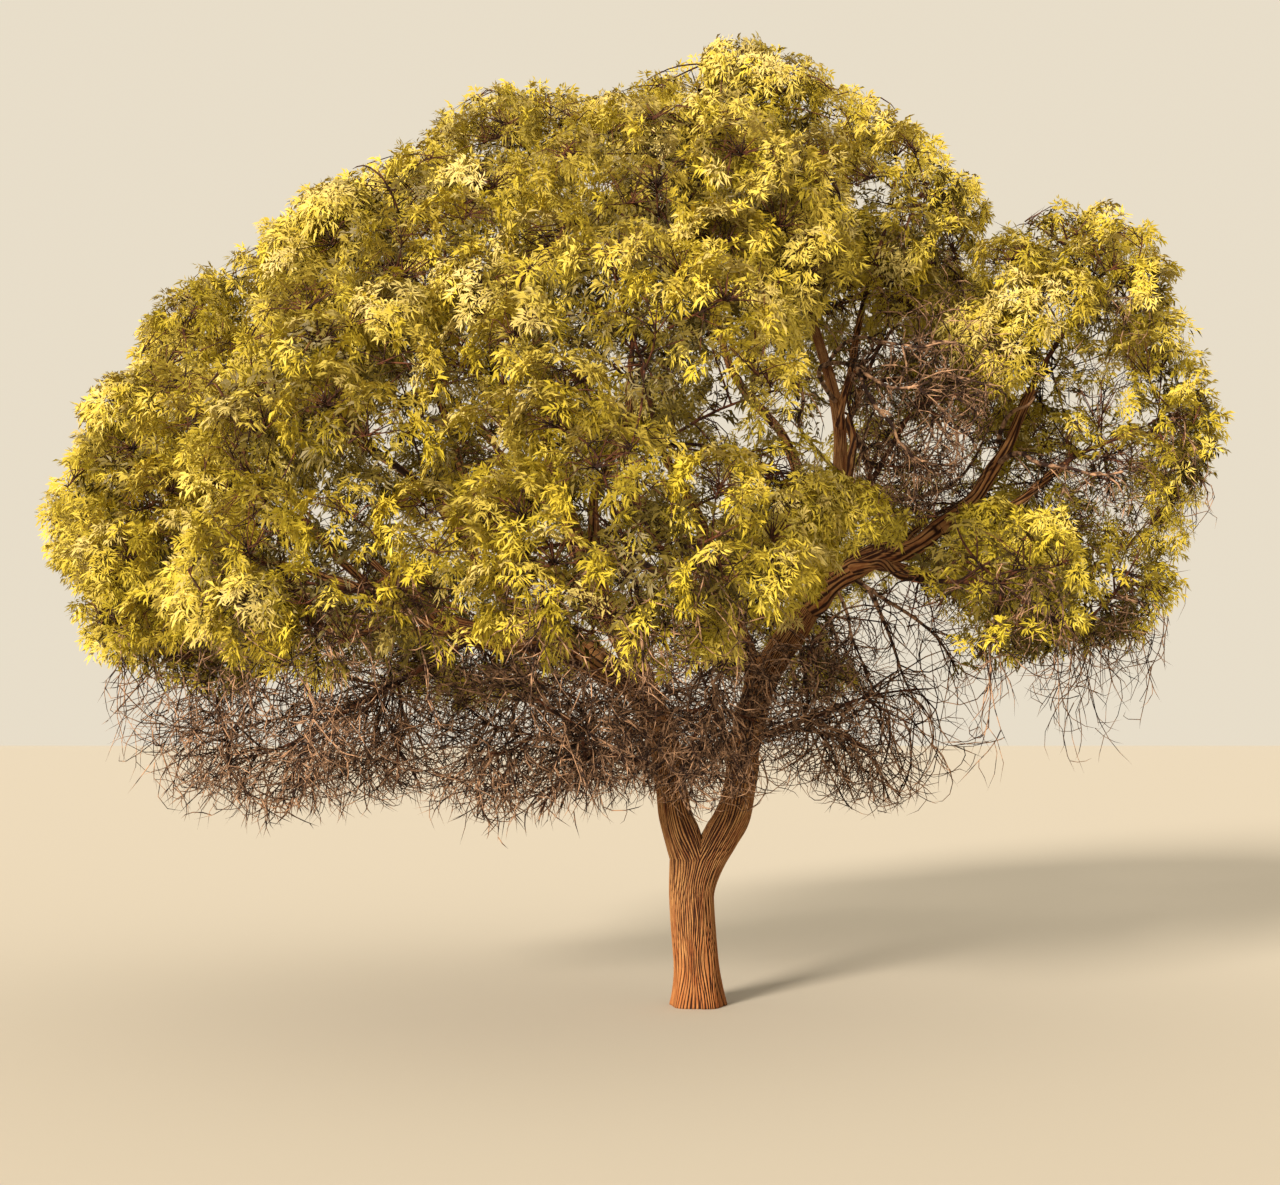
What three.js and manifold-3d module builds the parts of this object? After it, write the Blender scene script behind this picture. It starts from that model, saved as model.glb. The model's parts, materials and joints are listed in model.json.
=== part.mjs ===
// Emu apple tree: a broad low dome of drooping foliage on a short, deeply furrowed trunk that forks low
// down. Each limb is one tapering solid. Each mass of foliage is one solid too: a stem from its bough's
// tip, twigs that branch from it by a seeded rule, and at each twig's end a star of leaves that stands
// for a spray. Millimetres. X runs to the right of the tree's front, Y away from it and Z up. The origin
// is the middle of the flat cut under the trunk, at ground level.

import * as THREE from "three";
import { mergeVertices } from "three/addons/utils/BufferGeometryUtils.js";
import Module from "manifold-3d";

const wasm = await Module();
wasm.setup();

// Driving sizes of the trunk
const TRUNK_TALL = 880; // from the ground to where it divides
const TRUNK_R = 131; // half its width at the waist
const TRUNK_SIDES = 16;
const TRUNK_RINGS = 10;
const FLARE = 34; // how far the root flare stands out at the ground
const FLARE_TALL = 300;
const ROOTS = 5; // low roots that ripple the foot
const ROOT_RIPPLE = 0.07; // how far they stand out, as a share of the trunk's half-width
const ROOT_SHARE = 1 / 3; // of the trunk's height, over which they fade
const LEAN = -38; // how far the waist stands to the left of the foot
const FORK_WIDE = 1.36; // the trunk's top is this much wider from left to right than its waist
const FORK_DEEP = 0.94; // and this much as deep
const FORK_FROM = 0.72; // the share of its height at which it starts to spread
const FORK_X = 15; // where the middle of its top lies

// Clearances
const CLEAR = 0.4; // between two pieces that meet
const LIMB_AIR = 12; // between a twig or leaf and a limb that it doesn't grow from
const PROBES = 8; // stretches of a twig whose ends are tested for that
const SPACE_AIR = 6; // between a mass's pieces and the edge of its space

// Driving sizes of the limbs
const STEM_STEPS = 11;
const BOUGH_STEP = 360; // the longest straight stretch of a bough
const BOUGH_TIP_R = 20;
const BOUGH_SIDES = 5;
const BOUGH_TAPER = 1.15; // above 1, a bough narrows faster where it leaves its parent
const CROOK = 0.035; // how far a bough wanders from its smooth way, as a share of its length
const ALONG_PARENT = 0.55; // how much a bough starts out the way its parent runs
const ENTER_RISE = 0.25; // how much it rises as it enters its mass
const HANDLE = 0.35; // how far both of these bend its way, as a share of its reach
const ENTRY_DEPTH = 0.7; // where a bough ends, as a share of its mass's half-size, and less where this is
const ENTRY_EDGE = 70; // nearer to the edge of the mass's space

// Driving sizes of the masses
const HEART = new THREE.Vector3(-350, 0, 2500); // the foliage faces away from this point
const FLATNESS = 1.2; // masses are this much wider than tall, so their spaces divide in a space stretched so
const FIRST_SEED = 101;
const SEED_STEP = 7; // from a mass's seed to the next one's
const STEM_RADII = [BOUGH_TIP_R, 18, 14, 11];
const BARE_STEM_RADII = [26, 17, 12];
const STEM_FIRST = 80; // the first stretch of a stem, straight on from its bough
const STEM_PAST = 0.25; // how far past its mass's middle a stem ends, as a share of the half-size
const PAD_DEPTH = 0.86; // how far out a pad of foliage lies in its mass, as a share of the mass's half-size
const PAD_EDGE = 90; // from a pad's middle to the edge of its mass's space, at least
const PAD_UNEVEN = 0.05; // how much that varies
const PAD_AREA = 0.46e6; // of a mass's surface, for each pad
const TURNED_IN = -0.25; // a pad on the side that faces the heart more than this bears no foliage
const BARE_AREA = 0.4e6; // of a bare mass's surface, for each twig's end
const BARE_DEPTHS = [0.5, 0.95]; // the ends of bare twigs lie between these depths
const JOIN_BALANCE = 0.35; // how much a twig prefers a short way to the stem's foot over a near one
const JOIN_TRIES = 3; // places tried for a twig's root, the best first
const TWIG_R = 9; // of one that carries no other
const TWIG_NARROWS = 0.8; // from one end to the other, and from a twig to those that grow from it
const TWIG_SIDES = 3;
const PART_BEHIND = 26; // how far behind its end a twig parts into others
const STEM_SIDES = 4;
const LEAVES = 5; // in a spray
const LEAF_LONG = 520;
const LEAF_UNEVEN = 0.15; // how much that varies
const LEAF_ASTRAY = 0.15; // how far a leaf turns from its even place, as a share of the angle between two
const SPRAY_RISE = 0.15; // how much a spray looks up
const LEAF_LEAST = 0.3; // a spray with a leaf that would be shorter than this share of its length is skipped
const LEAF_CUP = 0.25; // how far a leaf's tip reaches forward, as a share of its length
const LEAF_DROOP = 0.4; // and how far it hangs
const LEAF_OVER = 1.12; // how far past its mass's half-size a leaf's tip may reach
const NOTCH = 0.3; // how far out two leaves part, as a share of their length
const SPRAY_THICK = 20; // at its middle
const GOLDEN_ANGLE = Math.PI * (3 - Math.sqrt(5));

const BARK = { color: 0x7a4a2c, roughness: 0.95, metalness: 0 };
const DEAD_TWIG = { color: 0x8a6a50, roughness: 0.95, metalness: 0 };
const LEAF = { color: 0x9a9a30, roughness: 0.6, metalness: 0 };

// The masses of foliage: the middle of each, and half its width, depth and height
const FOLIAGE = {
  crown_top: { at: [300, -100, 4980], half: [1000, 1000, 820] },
  crown_top_left: { at: [-980, -150, 4790], half: [880, 950, 760] },
  crown_top_back: { at: [-350, 1350, 4620], half: [1050, 950, 780] },
  shoulder_right: { at: [1080, -250, 4620], half: [650, 880, 680] },
  shoulder_front: { at: [-120, -1450, 4230], half: [980, 880, 800] },
  shoulder_front_left: { at: [-1480, -1250, 3980], half: [980, 920, 800] },
  shoulder_left: { at: [-1880, 100, 4340], half: [850, 1000, 780] },
  shoulder_far_left: { at: [-2640, 50, 3800], half: [830, 1000, 760] },
  shoulder_back_left: { at: [-1650, 1650, 3980], half: [1000, 950, 820] },
  shoulder_back_right: { at: [1250, 1350, 4330], half: [1000, 950, 820] },
  right_lobe: { at: [2230, -250, 4190], half: [620, 800, 640] },
  right_tip: { at: [2620, 0, 3440], half: [590, 850, 640] },
  right_low: { at: [2300, 250, 2640], half: [740, 850, 580] },
  front_right_low: { at: [1450, -1050, 2420], half: [740, 800, 520] },
  back_right: { at: [1900, 1500, 3250], half: [900, 950, 850] },
  front: { at: [-350, -2200, 3330], half: [900, 800, 760] },
  front_left: { at: [-1720, -1850, 3120], half: [920, 860, 780] },
  left: { at: [-2720, -850, 3020], half: [860, 900, 780] },
  left_tip: { at: [-3360, 150, 2900], half: [640, 850, 640] },
  back_left: { at: [-2650, 1350, 3000], half: [950, 950, 820] },
  back: { at: [-400, 2250, 3300], half: [1080, 900, 880] },
  low_front: { at: [-400, -2450, 2440], half: [930, 720, 580] },
  low_front_left: { at: [-1850, -1950, 2350], half: [900, 800, 520] },
  low_left: { at: [-2700, -750, 2270], half: [800, 850, 460] },
  low_back_left: { at: [-1500, 2150, 2350], half: [1000, 820, 580] },
  low_back_right: { at: [850, 2250, 2480], half: [950, 850, 640] },
};

// The masses of dead, bare twigs under the crown and in its open front on the right, each with the limb that
// it grows on and how far along that limb
const BARE = {
  bare_left: { at: [-2200, -450, 1640], half: [980, 850, 560], on: "bough_left", along: 0.53 },
  bare_middle: { at: [-950, -750, 1600], half: [640, 800, 540], on: "stem_left", along: 0.4 },
  bare_front: { at: [60, -750, 1760], half: [520, 600, 520], on: "stem_right", along: 0.34 },
  bare_right: { at: [980, -150, 1820], half: [640, 760, 560], on: "stem_right", along: 0.44 },
  bare_back: { at: [-450, 1100, 1720], half: [950, 640, 540], on: "stem_left", along: 0.45 },
  bare_open: { at: [1230, -650, 3480], half: [660, 680, 640], on: "stem_right", along: 0.72 },
};

// The limbs that the view from the front shows, by the points they pass through and their half-width there
const MAIN_LIMBS = {
  stem_right: {
    sides: 8,
    route: [
      [0, 0, 780, 122], [105, 0, 950, 114], [212, 0, 1120, 103], [262, 0, 1330, 96],
      [292, 0, 1570, 94], [410, 10, 1960, 86], [690, 0, 2400, 78], [830, -10, 2900, 46],
      [870, -20, 3500, 38], [700, -60, 4160, 26],
    ],
    to: "crown_top",
  },
  stem_left: {
    sides: 8,
    route: [
      [-50, 15, 780, 106], [-95, 20, 950, 98], [-132, 25, 1120, 93], [-165, 40, 1340, 90],
      [-215, 55, 1620, 86], [-400, 55, 2080, 76], [-700, 20, 2700, 58], [-900, -40, 3350, 40],
      [-980, -110, 4060, 26],
    ],
    to: "crown_top_left",
  },
  bough_right: {
    sides: 7,
    route: [
      [660, 0, 2360, 70], [920, -10, 2590, 64], [1220, 0, 2700, 56], [1540, -10, 2900, 47],
      [1820, -40, 3230, 38], [2020, -130, 3680, 26],
    ],
    to: "right_lobe",
  },
};

// The other boughs: the limb that each leaves and how far along it, the mass it feeds, its half-width where
// it leaves, and how far its middle rises above the straight way (or sags below it)
const BOUGHS = {
  bough_left: { from: "stem_left", along: 0.56, to: "left", r: 58, rise: -200 },
  bough_front_left: { from: "stem_left", along: 0.5, to: "front_left", r: 50, rise: -60 },
  bough_front: { from: "stem_right", along: 0.5, to: "front", r: 50, rise: 40 },
  bough_back: { from: "stem_right", along: 0.52, to: "back", r: 52, rise: 40 },
  bough_back_left: { from: "stem_left", along: 0.58, to: "back_left", r: 50, rise: -60 },
  bough_far_left: { from: "stem_left", along: 0.66, to: "shoulder_far_left", r: 46, rise: 60 },
  bough_shoulder_front: { from: "stem_right", along: 0.7, to: "shoulder_front", r: 40, rise: 60 },
  bough_shoulder_front_left: { from: "stem_left", along: 0.74, to: "shoulder_front_left", r: 38, rise: 40 },
  bough_shoulder_back_left: { from: "stem_left", along: 0.77, to: "shoulder_back_left", r: 38, rise: 40 },
  bough_crown_back: { from: "stem_left", along: 0.7, to: "crown_top_back", r: 38, rise: 120 },
  bough_shoulder_back_right: { from: "stem_right", along: 0.76, to: "shoulder_back_right", r: 40, rise: 60 },
  bough_shoulder_right: { from: "stem_right", along: 0.88, to: "shoulder_right", r: 30, rise: 30 },
  bough_right_tip: { from: "bough_right", along: 0.55, to: "right_tip", r: 40, rise: -40 },
  bough_right_low: { from: "bough_right", along: 0.3, to: "right_low", r: 36, rise: -60 },
  bough_front_right_low: { from: "bough_right", along: 0.2, to: "front_right_low", r: 34, rise: 60 },
  bough_back_right: { from: "bough_right", along: 0.14, to: "back_right", r: 44, rise: 40 },
  bough_shoulder_left: { from: "bough_far_left", along: 0.4, to: "shoulder_left", r: 34, rise: 60 },
  bough_left_tip: { from: "bough_left", along: 0.4, to: "left_tip", r: 36, rise: 60 },
  bough_low_left: { from: "bough_left", along: 0.62, to: "low_left", r: 30, rise: -60 },
  bough_low_front_left: { from: "bough_front_left", along: 0.45, to: "low_front_left", r: 32, rise: -40 },
  bough_low_front: { from: "bough_front", along: 0.42, to: "low_front", r: 34, rise: 60 },
  bough_low_back_left: { from: "bough_back_left", along: 0.4, to: "low_back_left", r: 34, rise: 40 },
  bough_low_back_right: { from: "bough_back", along: 0.36, to: "low_back_right", r: 34, rise: 60 },
};

const UP = new THREE.Vector3(0, 0, 1);
const vector = ([x, y, z]) => new THREE.Vector3(x, y, z);

// A stream of numbers from 0 to 1 that is the same for the same seed
function seeded(seed) {
  let state = seed >>> 0;
  return () => {
    state = (Math.imul(state, 1664525) + 1013904223) >>> 0;
    return state / 4294967296;
  };
}

// Solids

function solidOf(geometry) {
  const bare = new THREE.BufferGeometry();
  bare.setAttribute("position", geometry.getAttribute("position"));
  bare.setIndex(geometry.getIndex());
  const merged = mergeVertices(bare, 1e-3);
  return new wasm.Manifold(
    new wasm.Mesh({
      numProp: 3,
      vertProperties: merged.attributes.position.array,
      triVerts: new Uint32Array(merged.index.array),
    }),
  );
}

// The largest body of a solid: a scrap that lies loose beside it is dropped, and so is the skin of a sealed
// hollow.
function largestBody(solid) {
  return solid.decompose().reduce((best, body) => (body.volume() > best.volume() ? body : best));
}

function geometryOf(solid) {
  const mesh = solid.getMesh();
  const geometry = new THREE.BufferGeometry();
  geometry.setAttribute("position", new THREE.BufferAttribute(mesh.vertProperties, 3));
  geometry.setIndex(new THREE.BufferAttribute(mesh.triVerts, 1));
  geometry.computeVertexNormals();
  return geometry;
}

// A cylinder bent to run through the points, with its half-width at each of them and flat ends
function tube(points, radii, sides) {
  const steps = points.length - 1;
  const geometry = new THREE.CylinderGeometry(1, 1, 1, sides, steps);
  const frames = [];
  for (let i = 0; i <= steps; i++) {
    const along = points[Math.min(i + 1, steps)].clone().sub(points[Math.max(i - 1, 0)]).normalize();
    const level = new THREE.Vector3(Math.abs(along.x) < 0.9 ? 1 : 0, Math.abs(along.x) < 0.9 ? 0 : 1, 0);
    const before = i ? frames[i - 1].side : level;
    const side = before.clone().addScaledVector(along, -before.dot(along)).normalize();
    frames.push({ side, other: side.clone().cross(along) });
  }
  const position = geometry.getAttribute("position");
  for (let i = 0; i < position.count; i++) {
    const ring = Math.round((position.getY(i) + 0.5) * steps);
    const placed = points[ring].clone();
    placed.addScaledVector(frames[ring].side, position.getX(i) * radii[ring]);
    placed.addScaledVector(frames[ring].other, position.getZ(i) * radii[ring]);
    position.setXYZ(i, placed.x, placed.y, placed.z);
  }
  return geometry;
}

// Limbs

const limbs = new Map();

// The trunk's middle and half-width at a height, before the fork widens it
function trunkAt(z) {
  const share = z / TRUNK_TALL;
  const flare = FLARE * Math.max(0, 1 - z / FLARE_TALL) ** 2;
  return { x: LEAN * Math.sin((Math.PI / 2) * Math.min(1, share * 1.2)) ** 2, r: TRUNK_R + flare };
}

// The trunk stands on level rings, so that its foot is cut flat. Low roots ripple its foot, and its top
// spreads to the left and right where it divides.
function trunkGeometry(swell = 0) {
  const geometry = new THREE.CylinderGeometry(1, 1, 1, TRUNK_SIDES, TRUNK_RINGS);
  const position = geometry.getAttribute("position");
  for (let i = 0; i < position.count; i++) {
    const share = position.getY(i) + 0.5;
    const z = share * TRUNK_TALL;
    const { x, r } = trunkAt(z);
    const angle = Math.atan2(position.getZ(i), position.getX(i));
    const roots = 1 + ROOT_RIPPLE * Math.cos(ROOTS * angle + 1) * Math.max(0, 1 - share / ROOT_SHARE);
    const fork = Math.max(0, (share - FORK_FROM) / (1 - FORK_FROM)) ** 1.5;
    const wide = (r * roots + swell) * (1 + (FORK_WIDE - 1) * fork);
    const deep = (r * roots + swell) * (1 + (FORK_DEEP - 1) * fork);
    const middle = THREE.MathUtils.lerp(x, FORK_X, fork);
    position.setXYZ(i, middle + position.getX(i) * wide, -position.getZ(i) * deep, z + swell * share);
  }
  return geometry;
}

function growTrunk() {
  const points = [];
  const radii = [];
  for (let i = 0; i <= TRUNK_RINGS; i++) {
    const z = (i / TRUNK_RINGS) * TRUNK_TALL;
    const { x, r } = trunkAt(z);
    points.push(new THREE.Vector3(x, 0, z));
    radii.push(r);
  }
  limbs.set("trunk", { name: "trunk", points, radii, shape: (swell) => trunkGeometry(swell) });
}

// A limb's way is a function of the share of it that lies behind.
function addLimb(name, to, way, radii, sides) {
  const points = radii.map((r, i) => way(i / (radii.length - 1)));
  const shape = (swell) => tube(points, radii.map((r) => r + swell), sides);
  limbs.set(name, { name, to, way, points, radii, shape });
}

function growMainLimbs() {
  for (const [name, { route, sides, to }] of Object.entries(MAIN_LIMBS)) {
    const curve = new THREE.CatmullRomCurve3(route.map(vector), false, "catmullrom");
    const steps = Math.min(STEM_STEPS, 2 * (route.length - 1));
    const radii = [];
    for (let i = 0; i <= steps; i++) {
      const place = (i / steps) * (route.length - 1);
      const before = Math.min(Math.floor(place), route.length - 2);
      radii.push(THREE.MathUtils.lerp(route[before][3], route[before + 1][3], place - before));
    }
    addLimb(name, to, (t) => curve.getPoint(t), radii, sides);
  }
}

// Where a mass's bough ends: on the side of the mass that it comes from, as far out as its space allows
function entryPoint(mass, start) {
  const back = start.clone().sub(mass.middle).divide(mass.half).normalize().multiply(mass.half);
  for (let share = ENTRY_DEPTH; share > 0.1; share -= 0.05) {
    const point = mass.middle.clone().addScaledVector(back, share);
    if (isInside(mass, point, ENTRY_EDGE)) return point;
  }
  return mass.middle.clone();
}

function growBoughs() {
  Object.entries(BOUGHS).forEach(([name, { from, along, to, r, rise }], row) => {
    const parent = limbs.get(from);
    const mass = masses.get(to);
    const start = parent.way(along);
    const end = entryPoint(mass, start);
    const reach = start.distanceTo(end);
    const onward = parent.way(along + 0.01).sub(start).normalize();
    const leave = end.clone().sub(start).normalize().addScaledVector(onward, ALONG_PARENT).normalize();
    const enter = mass.middle.clone().sub(start).normalize().addScaledVector(UP, ENTER_RISE).normalize();
    const curve = new THREE.CubicBezierCurve3(
      start,
      start.clone().addScaledVector(leave, reach * HANDLE).addScaledVector(UP, rise),
      end.clone().addScaledVector(enter, -reach * HANDLE).addScaledVector(UP, rise),
      end,
    );
    const side = leave.clone().cross(UP).normalize();
    const way = (t) => {
      const bend = CROOK * reach * Math.sin(Math.PI * t);
      const point = curve.getPoint(t).addScaledVector(side, bend * Math.sin(7 * t + 2.4 * row));
      return point.addScaledVector(UP, bend * Math.sin(6 * t + 1.7 * row));
    };
    const steps = Math.max(4, Math.round(reach / BOUGH_STEP));
    const radii = [];
    for (let i = 0; i <= steps; i++) radii.push(BOUGH_TIP_R + (r - BOUGH_TIP_R) * (1 - i / steps) ** BOUGH_TAPER);
    addLimb(name, to, way, radii, BOUGH_SIDES);
  });
}

// Each limb is cut clear of every limb made before it, so it sits on the one that it grows from.
function cutLimbs() {
  const made = [];
  for (const limb of limbs.values()) {
    let solid = solidOf(limb.shape(0));
    for (const grown of made) solid = solid.subtract(grown);
    limb.solid = largestBody(solid);
    limb.grown = solidOf(limb.shape(CLEAR));
    made.push(limb.grown);
  }
}

// Spaces of the masses

const masses = new Map();

// The wall between a mass and its neighbour, nearer to the smaller one
function wallBetween(mass, neighbour) {
  const stretch = new THREE.Vector3(1, 1, FLATNESS);
  const here = mass.middle.clone().multiply(stretch);
  const there = neighbour.middle.clone().multiply(stretch);
  const size = ({ half }) => (half.x + half.y + half.z * FLATNESS) / 3;
  const normal = there.clone().sub(here).multiply(stretch);
  const offset = (there.lengthSq() - here.lengthSq() + size(mass) ** 2 - size(neighbour) ** 2) / 2;
  const long = normal.length();
  return { normal: normal.divideScalar(long), offset: offset / long };
}

function placeMasses() {
  const rows = Object.entries({ ...FOLIAGE, ...BARE });
  rows.forEach(([name, row], i) => {
    const leafy = name in FOLIAGE;
    const seed = FIRST_SEED + SEED_STEP * i;
    masses.set(name, { ...row, name, leafy, seed, middle: vector(row.at), half: vector(row.half) });
  });
  for (const mass of masses.values()) {
    const others = [...masses.values()].filter((other) => other !== mass);
    mass.walls = others.map((other) => wallBetween(mass, other));
    mass.outward = mass.middle.clone().sub(HEART).normalize();
  }
}

// Whether a point is this far from the walls of its mass's space, and within its half-size times `over`
function isInside(mass, point, margin, over = 1) {
  const out = point.clone().sub(mass.middle).divide(mass.half);
  if (out.length() > over) return false;
  return mass.walls.every((wall) => wall.offset - wall.normal.dot(point) > margin);
}

// Twigs

const obstacles = []; // every limb, and the stem of every mass

// Whether a straight piece of this half-width comes too near a limb or another mass's stem
function touches(from, to, wide, mass) {
  const piece = new THREE.Line3(from, to);
  const spot = new THREE.Vector3();
  const near = new THREE.Vector3();
  return obstacles.some(({ points, radii, owner }) => {
    if (owner === mass) return false;
    for (let i = 0; i < points.length - 1; i++) {
      const part = new THREE.Line3(points[i], points[i + 1]);
      const least = Math.max(radii[i], radii[i + 1]) + wide + LIMB_AIR;
      for (let k = 0; k <= PROBES; k++) {
        piece.at(k / PROBES, spot);
        part.closestPointToPoint(spot, true, near);
        if (near.distanceTo(spot) < least) return true;
      }
    }
    return false;
  });
}

// The middles of a mass's pads of foliage, or the ends of its bare twigs, dealt out by the golden angle
function padsOf(mass, random) {
  const { x, y, z } = mass.half;
  const area = mass.leafy ? PAD_AREA : BARE_AREA;
  const count = Math.round((4 * Math.PI * (((x + y + z) / 3) * PAD_DEPTH) ** 2) / area);
  const turn = random() * Math.PI * 2;
  const pads = [];
  for (let k = 0; k < count; k++) {
    const up = 1 - (2 * (k + 0.5)) / count;
    const round = Math.sqrt(1 - up * up);
    const angle = turn + k * GOLDEN_ANGLE;
    const out = new THREE.Vector3(round * Math.cos(angle), round * Math.sin(angle), up);
    const even = PAD_DEPTH * (1 - PAD_UNEVEN + 2 * PAD_UNEVEN * random());
    const uneven = BARE_DEPTHS[0] + (BARE_DEPTHS[1] - BARE_DEPTHS[0]) * random();
    const point = out.clone().multiply(mass.half).multiplyScalar(mass.leafy ? even : uneven).add(mass.middle);
    const kept = !mass.leafy || out.dot(mass.outward) > TURNED_IN;
    if (kept && isInside(mass, point, mass.leafy ? PAD_EDGE : SPACE_AIR + TWIG_R)) pads.push({ point, out });
  }
  return pads;
}

// A leafy mass's stem goes on from its bough's tip past the mass's middle, and a bare one's leaves the side
// of a limb.
function growStem(mass) {
  if (mass.leafy) {
    const bough = [...limbs.values()].find((limb) => limb.to === mass.name);
    const tip = bough.points.at(-1);
    const onward = tip.clone().sub(bough.points.at(-2)).normalize();
    const foot = tip.clone().addScaledVector(onward, CLEAR);
    const first = foot.clone().addScaledVector(onward, STEM_FIRST);
    const far = mass.middle.clone().addScaledVector(mass.outward.clone().multiply(mass.half), STEM_PAST);
    mass.stem = { points: [foot, first, first.clone().lerp(far, 0.5), far], radii: STEM_RADII };
  } else {
    const foot = limbs.get(mass.on).way(mass.along);
    mass.stem = { points: [foot, foot.clone().lerp(mass.middle, 0.5), mass.middle], radii: BARE_STEM_RADII };
  }
  obstacles.push({ ...mass.stem, owner: mass });
}

// Joins every pad, nearest to the stem's foot first, to the stem or twig that gives it the shortest way.
function joinPads(mass, pads) {
  const nodes = [];
  const { points, radii } = mass.stem;
  points.forEach((point, i) => {
    const way = i ? nodes[i - 1].way + point.distanceTo(points[i - 1]) : 0;
    const back = point.clone().sub(points[Math.max(i - 1, 0)]).normalize().negate();
    nodes.push({ point, way, back, r: radii[i], carried: 0 });
  });
  const foot = points[0];
  const usable = nodes.slice(1);
  const ordered = [...pads].sort((a, b) => a.point.distanceTo(foot) - b.point.distanceTo(foot));
  for (const pad of ordered) {
    const cost = (node) => node.point.distanceTo(pad.point) + JOIN_BALANCE * node.way;
    const nearest = [...usable].sort((a, b) => cost(a) - cost(b)).slice(0, JOIN_TRIES);
    const parent = nearest.find((node) => !touches(node.point, pad.point, 2 * TWIG_R, mass));
    if (!parent) continue;
    const way = parent.way + parent.point.distanceTo(pad.point);
    const back = parent.point.clone().sub(pad.point).normalize();
    for (let up = parent; up; up = up.parent) up.carried += 1;
    usable.push({ ...pad, way, back, parent, carried: 0 });
  }
  const twigs = usable.filter((node) => node.parent);
  for (const twig of twigs) {
    twig.r = Math.min(TWIG_R * Math.sqrt(1 + twig.carried), twig.parent.r * TWIG_NARROWS);
  }
  return twigs;
}

// A twig's root is sunk in the end of the twig or stem that it grows from.
function twigSolid({ parent, point, r }) {
  const root = parent.point.clone().addScaledVector(parent.back, 1.5 * r + PART_BEHIND);
  return solidOf(tube([root, point], [r, r * TWIG_NARROWS], TWIG_SIDES));
}

// A spray: a sphere of one ring, bent to a cupped star of leaves that part at its notches
function sprayGeometry(heart, axis, tips, notches) {
  const corners = 2 * tips.length;
  const geometry = new THREE.SphereGeometry(1, corners, 2);
  const position = geometry.getAttribute("position");
  for (let i = 0; i < position.count; i++) {
    const pole = position.getY(i);
    const turn = Math.atan2(position.getZ(i), position.getX(i)) / (2 * Math.PI);
    const corner = Math.round((turn + 1) * corners);
    const ring = corner % 2 ? notches[((corner - 1) / 2) % tips.length] : tips[(corner / 2) % tips.length];
    const face = heart.clone().addScaledVector(axis, (pole * SPRAY_THICK) / 2);
    const placed = Math.abs(pole) > 0.5 ? face : ring;
    position.setXYZ(i, placed.x, placed.y, placed.z);
  }
  return geometry;
}

// The corner of a spray that lies this far out, or as far as its mass's space and the limbs let it
function cornerAt(mass, heart, way, long) {
  for (let share = 1; share >= LEAF_LEAST; share -= 0.1) {
    const corner = heart.clone().addScaledVector(way, long * share);
    if (isInside(mass, corner, SPACE_AIR, LEAF_OVER) && !touches(heart, corner, TWIG_R, mass)) return corner;
  }
  return null;
}

// The spray at a twig's end faces out of its mass, with its leaves cupped forward and hanging.
function spraySolid(mass, node, random) {
  const axis = node.out.clone().divide(mass.half).normalize().addScaledVector(UP, SPRAY_RISE).normalize();
  const side = new THREE.Vector3(0.8, 0.6, 0.05).cross(axis).normalize();
  const other = side.clone().cross(axis);
  const turn = random() * Math.PI * 2;
  const way = (k) => {
    const angle = turn + (k * 2 * Math.PI) / LEAVES;
    const spread = side.clone().multiplyScalar(Math.cos(angle)).addScaledVector(other, Math.sin(angle));
    return spread.addScaledVector(axis, LEAF_CUP).addScaledVector(UP, -LEAF_DROOP);
  };
  const tips = [];
  const notches = [];
  for (let k = 0; k < LEAVES; k++) {
    const long = LEAF_LONG * (1 - LEAF_UNEVEN + 2 * LEAF_UNEVEN * random());
    tips.push(cornerAt(mass, node.point, way(k + 2 * LEAF_ASTRAY * (random() - 0.5)), long));
    notches.push(cornerAt(mass, node.point, way(k + 0.5), LEAF_LONG * NOTCH));
  }
  if (![...tips, ...notches].every(Boolean)) return null;
  return solidOf(sprayGeometry(node.point, axis, tips, notches));
}

function massSolid(mass) {
  const random = seeded(mass.seed);
  const nodes = joinPads(mass, padsOf(mass, random));
  let solid = solidOf(tube(mass.stem.points, mass.stem.radii, STEM_SIDES));
  for (const node of nodes) solid = solid.add(twigSolid(node));
  for (const node of mass.leafy ? nodes : []) {
    const spray = spraySolid(mass, node, random);
    if (spray) solid = solid.add(spray);
  }
  if (!mass.leafy) solid = solid.subtract(limbs.get(mass.on).grown);
  return largestBody(solid);
}

// The tree

function meshOf(name, solid, look) {
  const mesh = new THREE.Mesh(geometryOf(solid), new THREE.MeshStandardMaterial(look));
  mesh.name = name;
  return mesh;
}

placeMasses();
growTrunk();
growMainLimbs();
growBoughs();
cutLimbs();
for (const { points, radii } of limbs.values()) obstacles.push({ points, radii });
for (const mass of masses.values()) growStem(mass);

const tree = new THREE.Group();
for (const limb of limbs.values()) tree.add(meshOf(limb.name, limb.solid, BARK));
for (const mass of masses.values()) {
  const name = mass.leafy ? `foliage_${mass.name}` : mass.name;
  tree.add(meshOf(name, massSolid(mass), mass.leafy ? LEAF : DEAD_TWIG));
}

export default tree;
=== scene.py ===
"""Emu apple tree: its bark, its live and dead twigs and its leaves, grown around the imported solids.

The limbs and the coarse twigs follow the rule of the part's source, written again here in metres. From each
coarse twig the growth goes on to finer shoots, and at their ends to tufts of feathery leaves. Metres, +Z up.
X runs to the right of the tree's front and Y away from it.
"""

import json
import logging
import math
from dataclasses import dataclass, field
from enum import Enum
from typing import Callable

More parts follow.
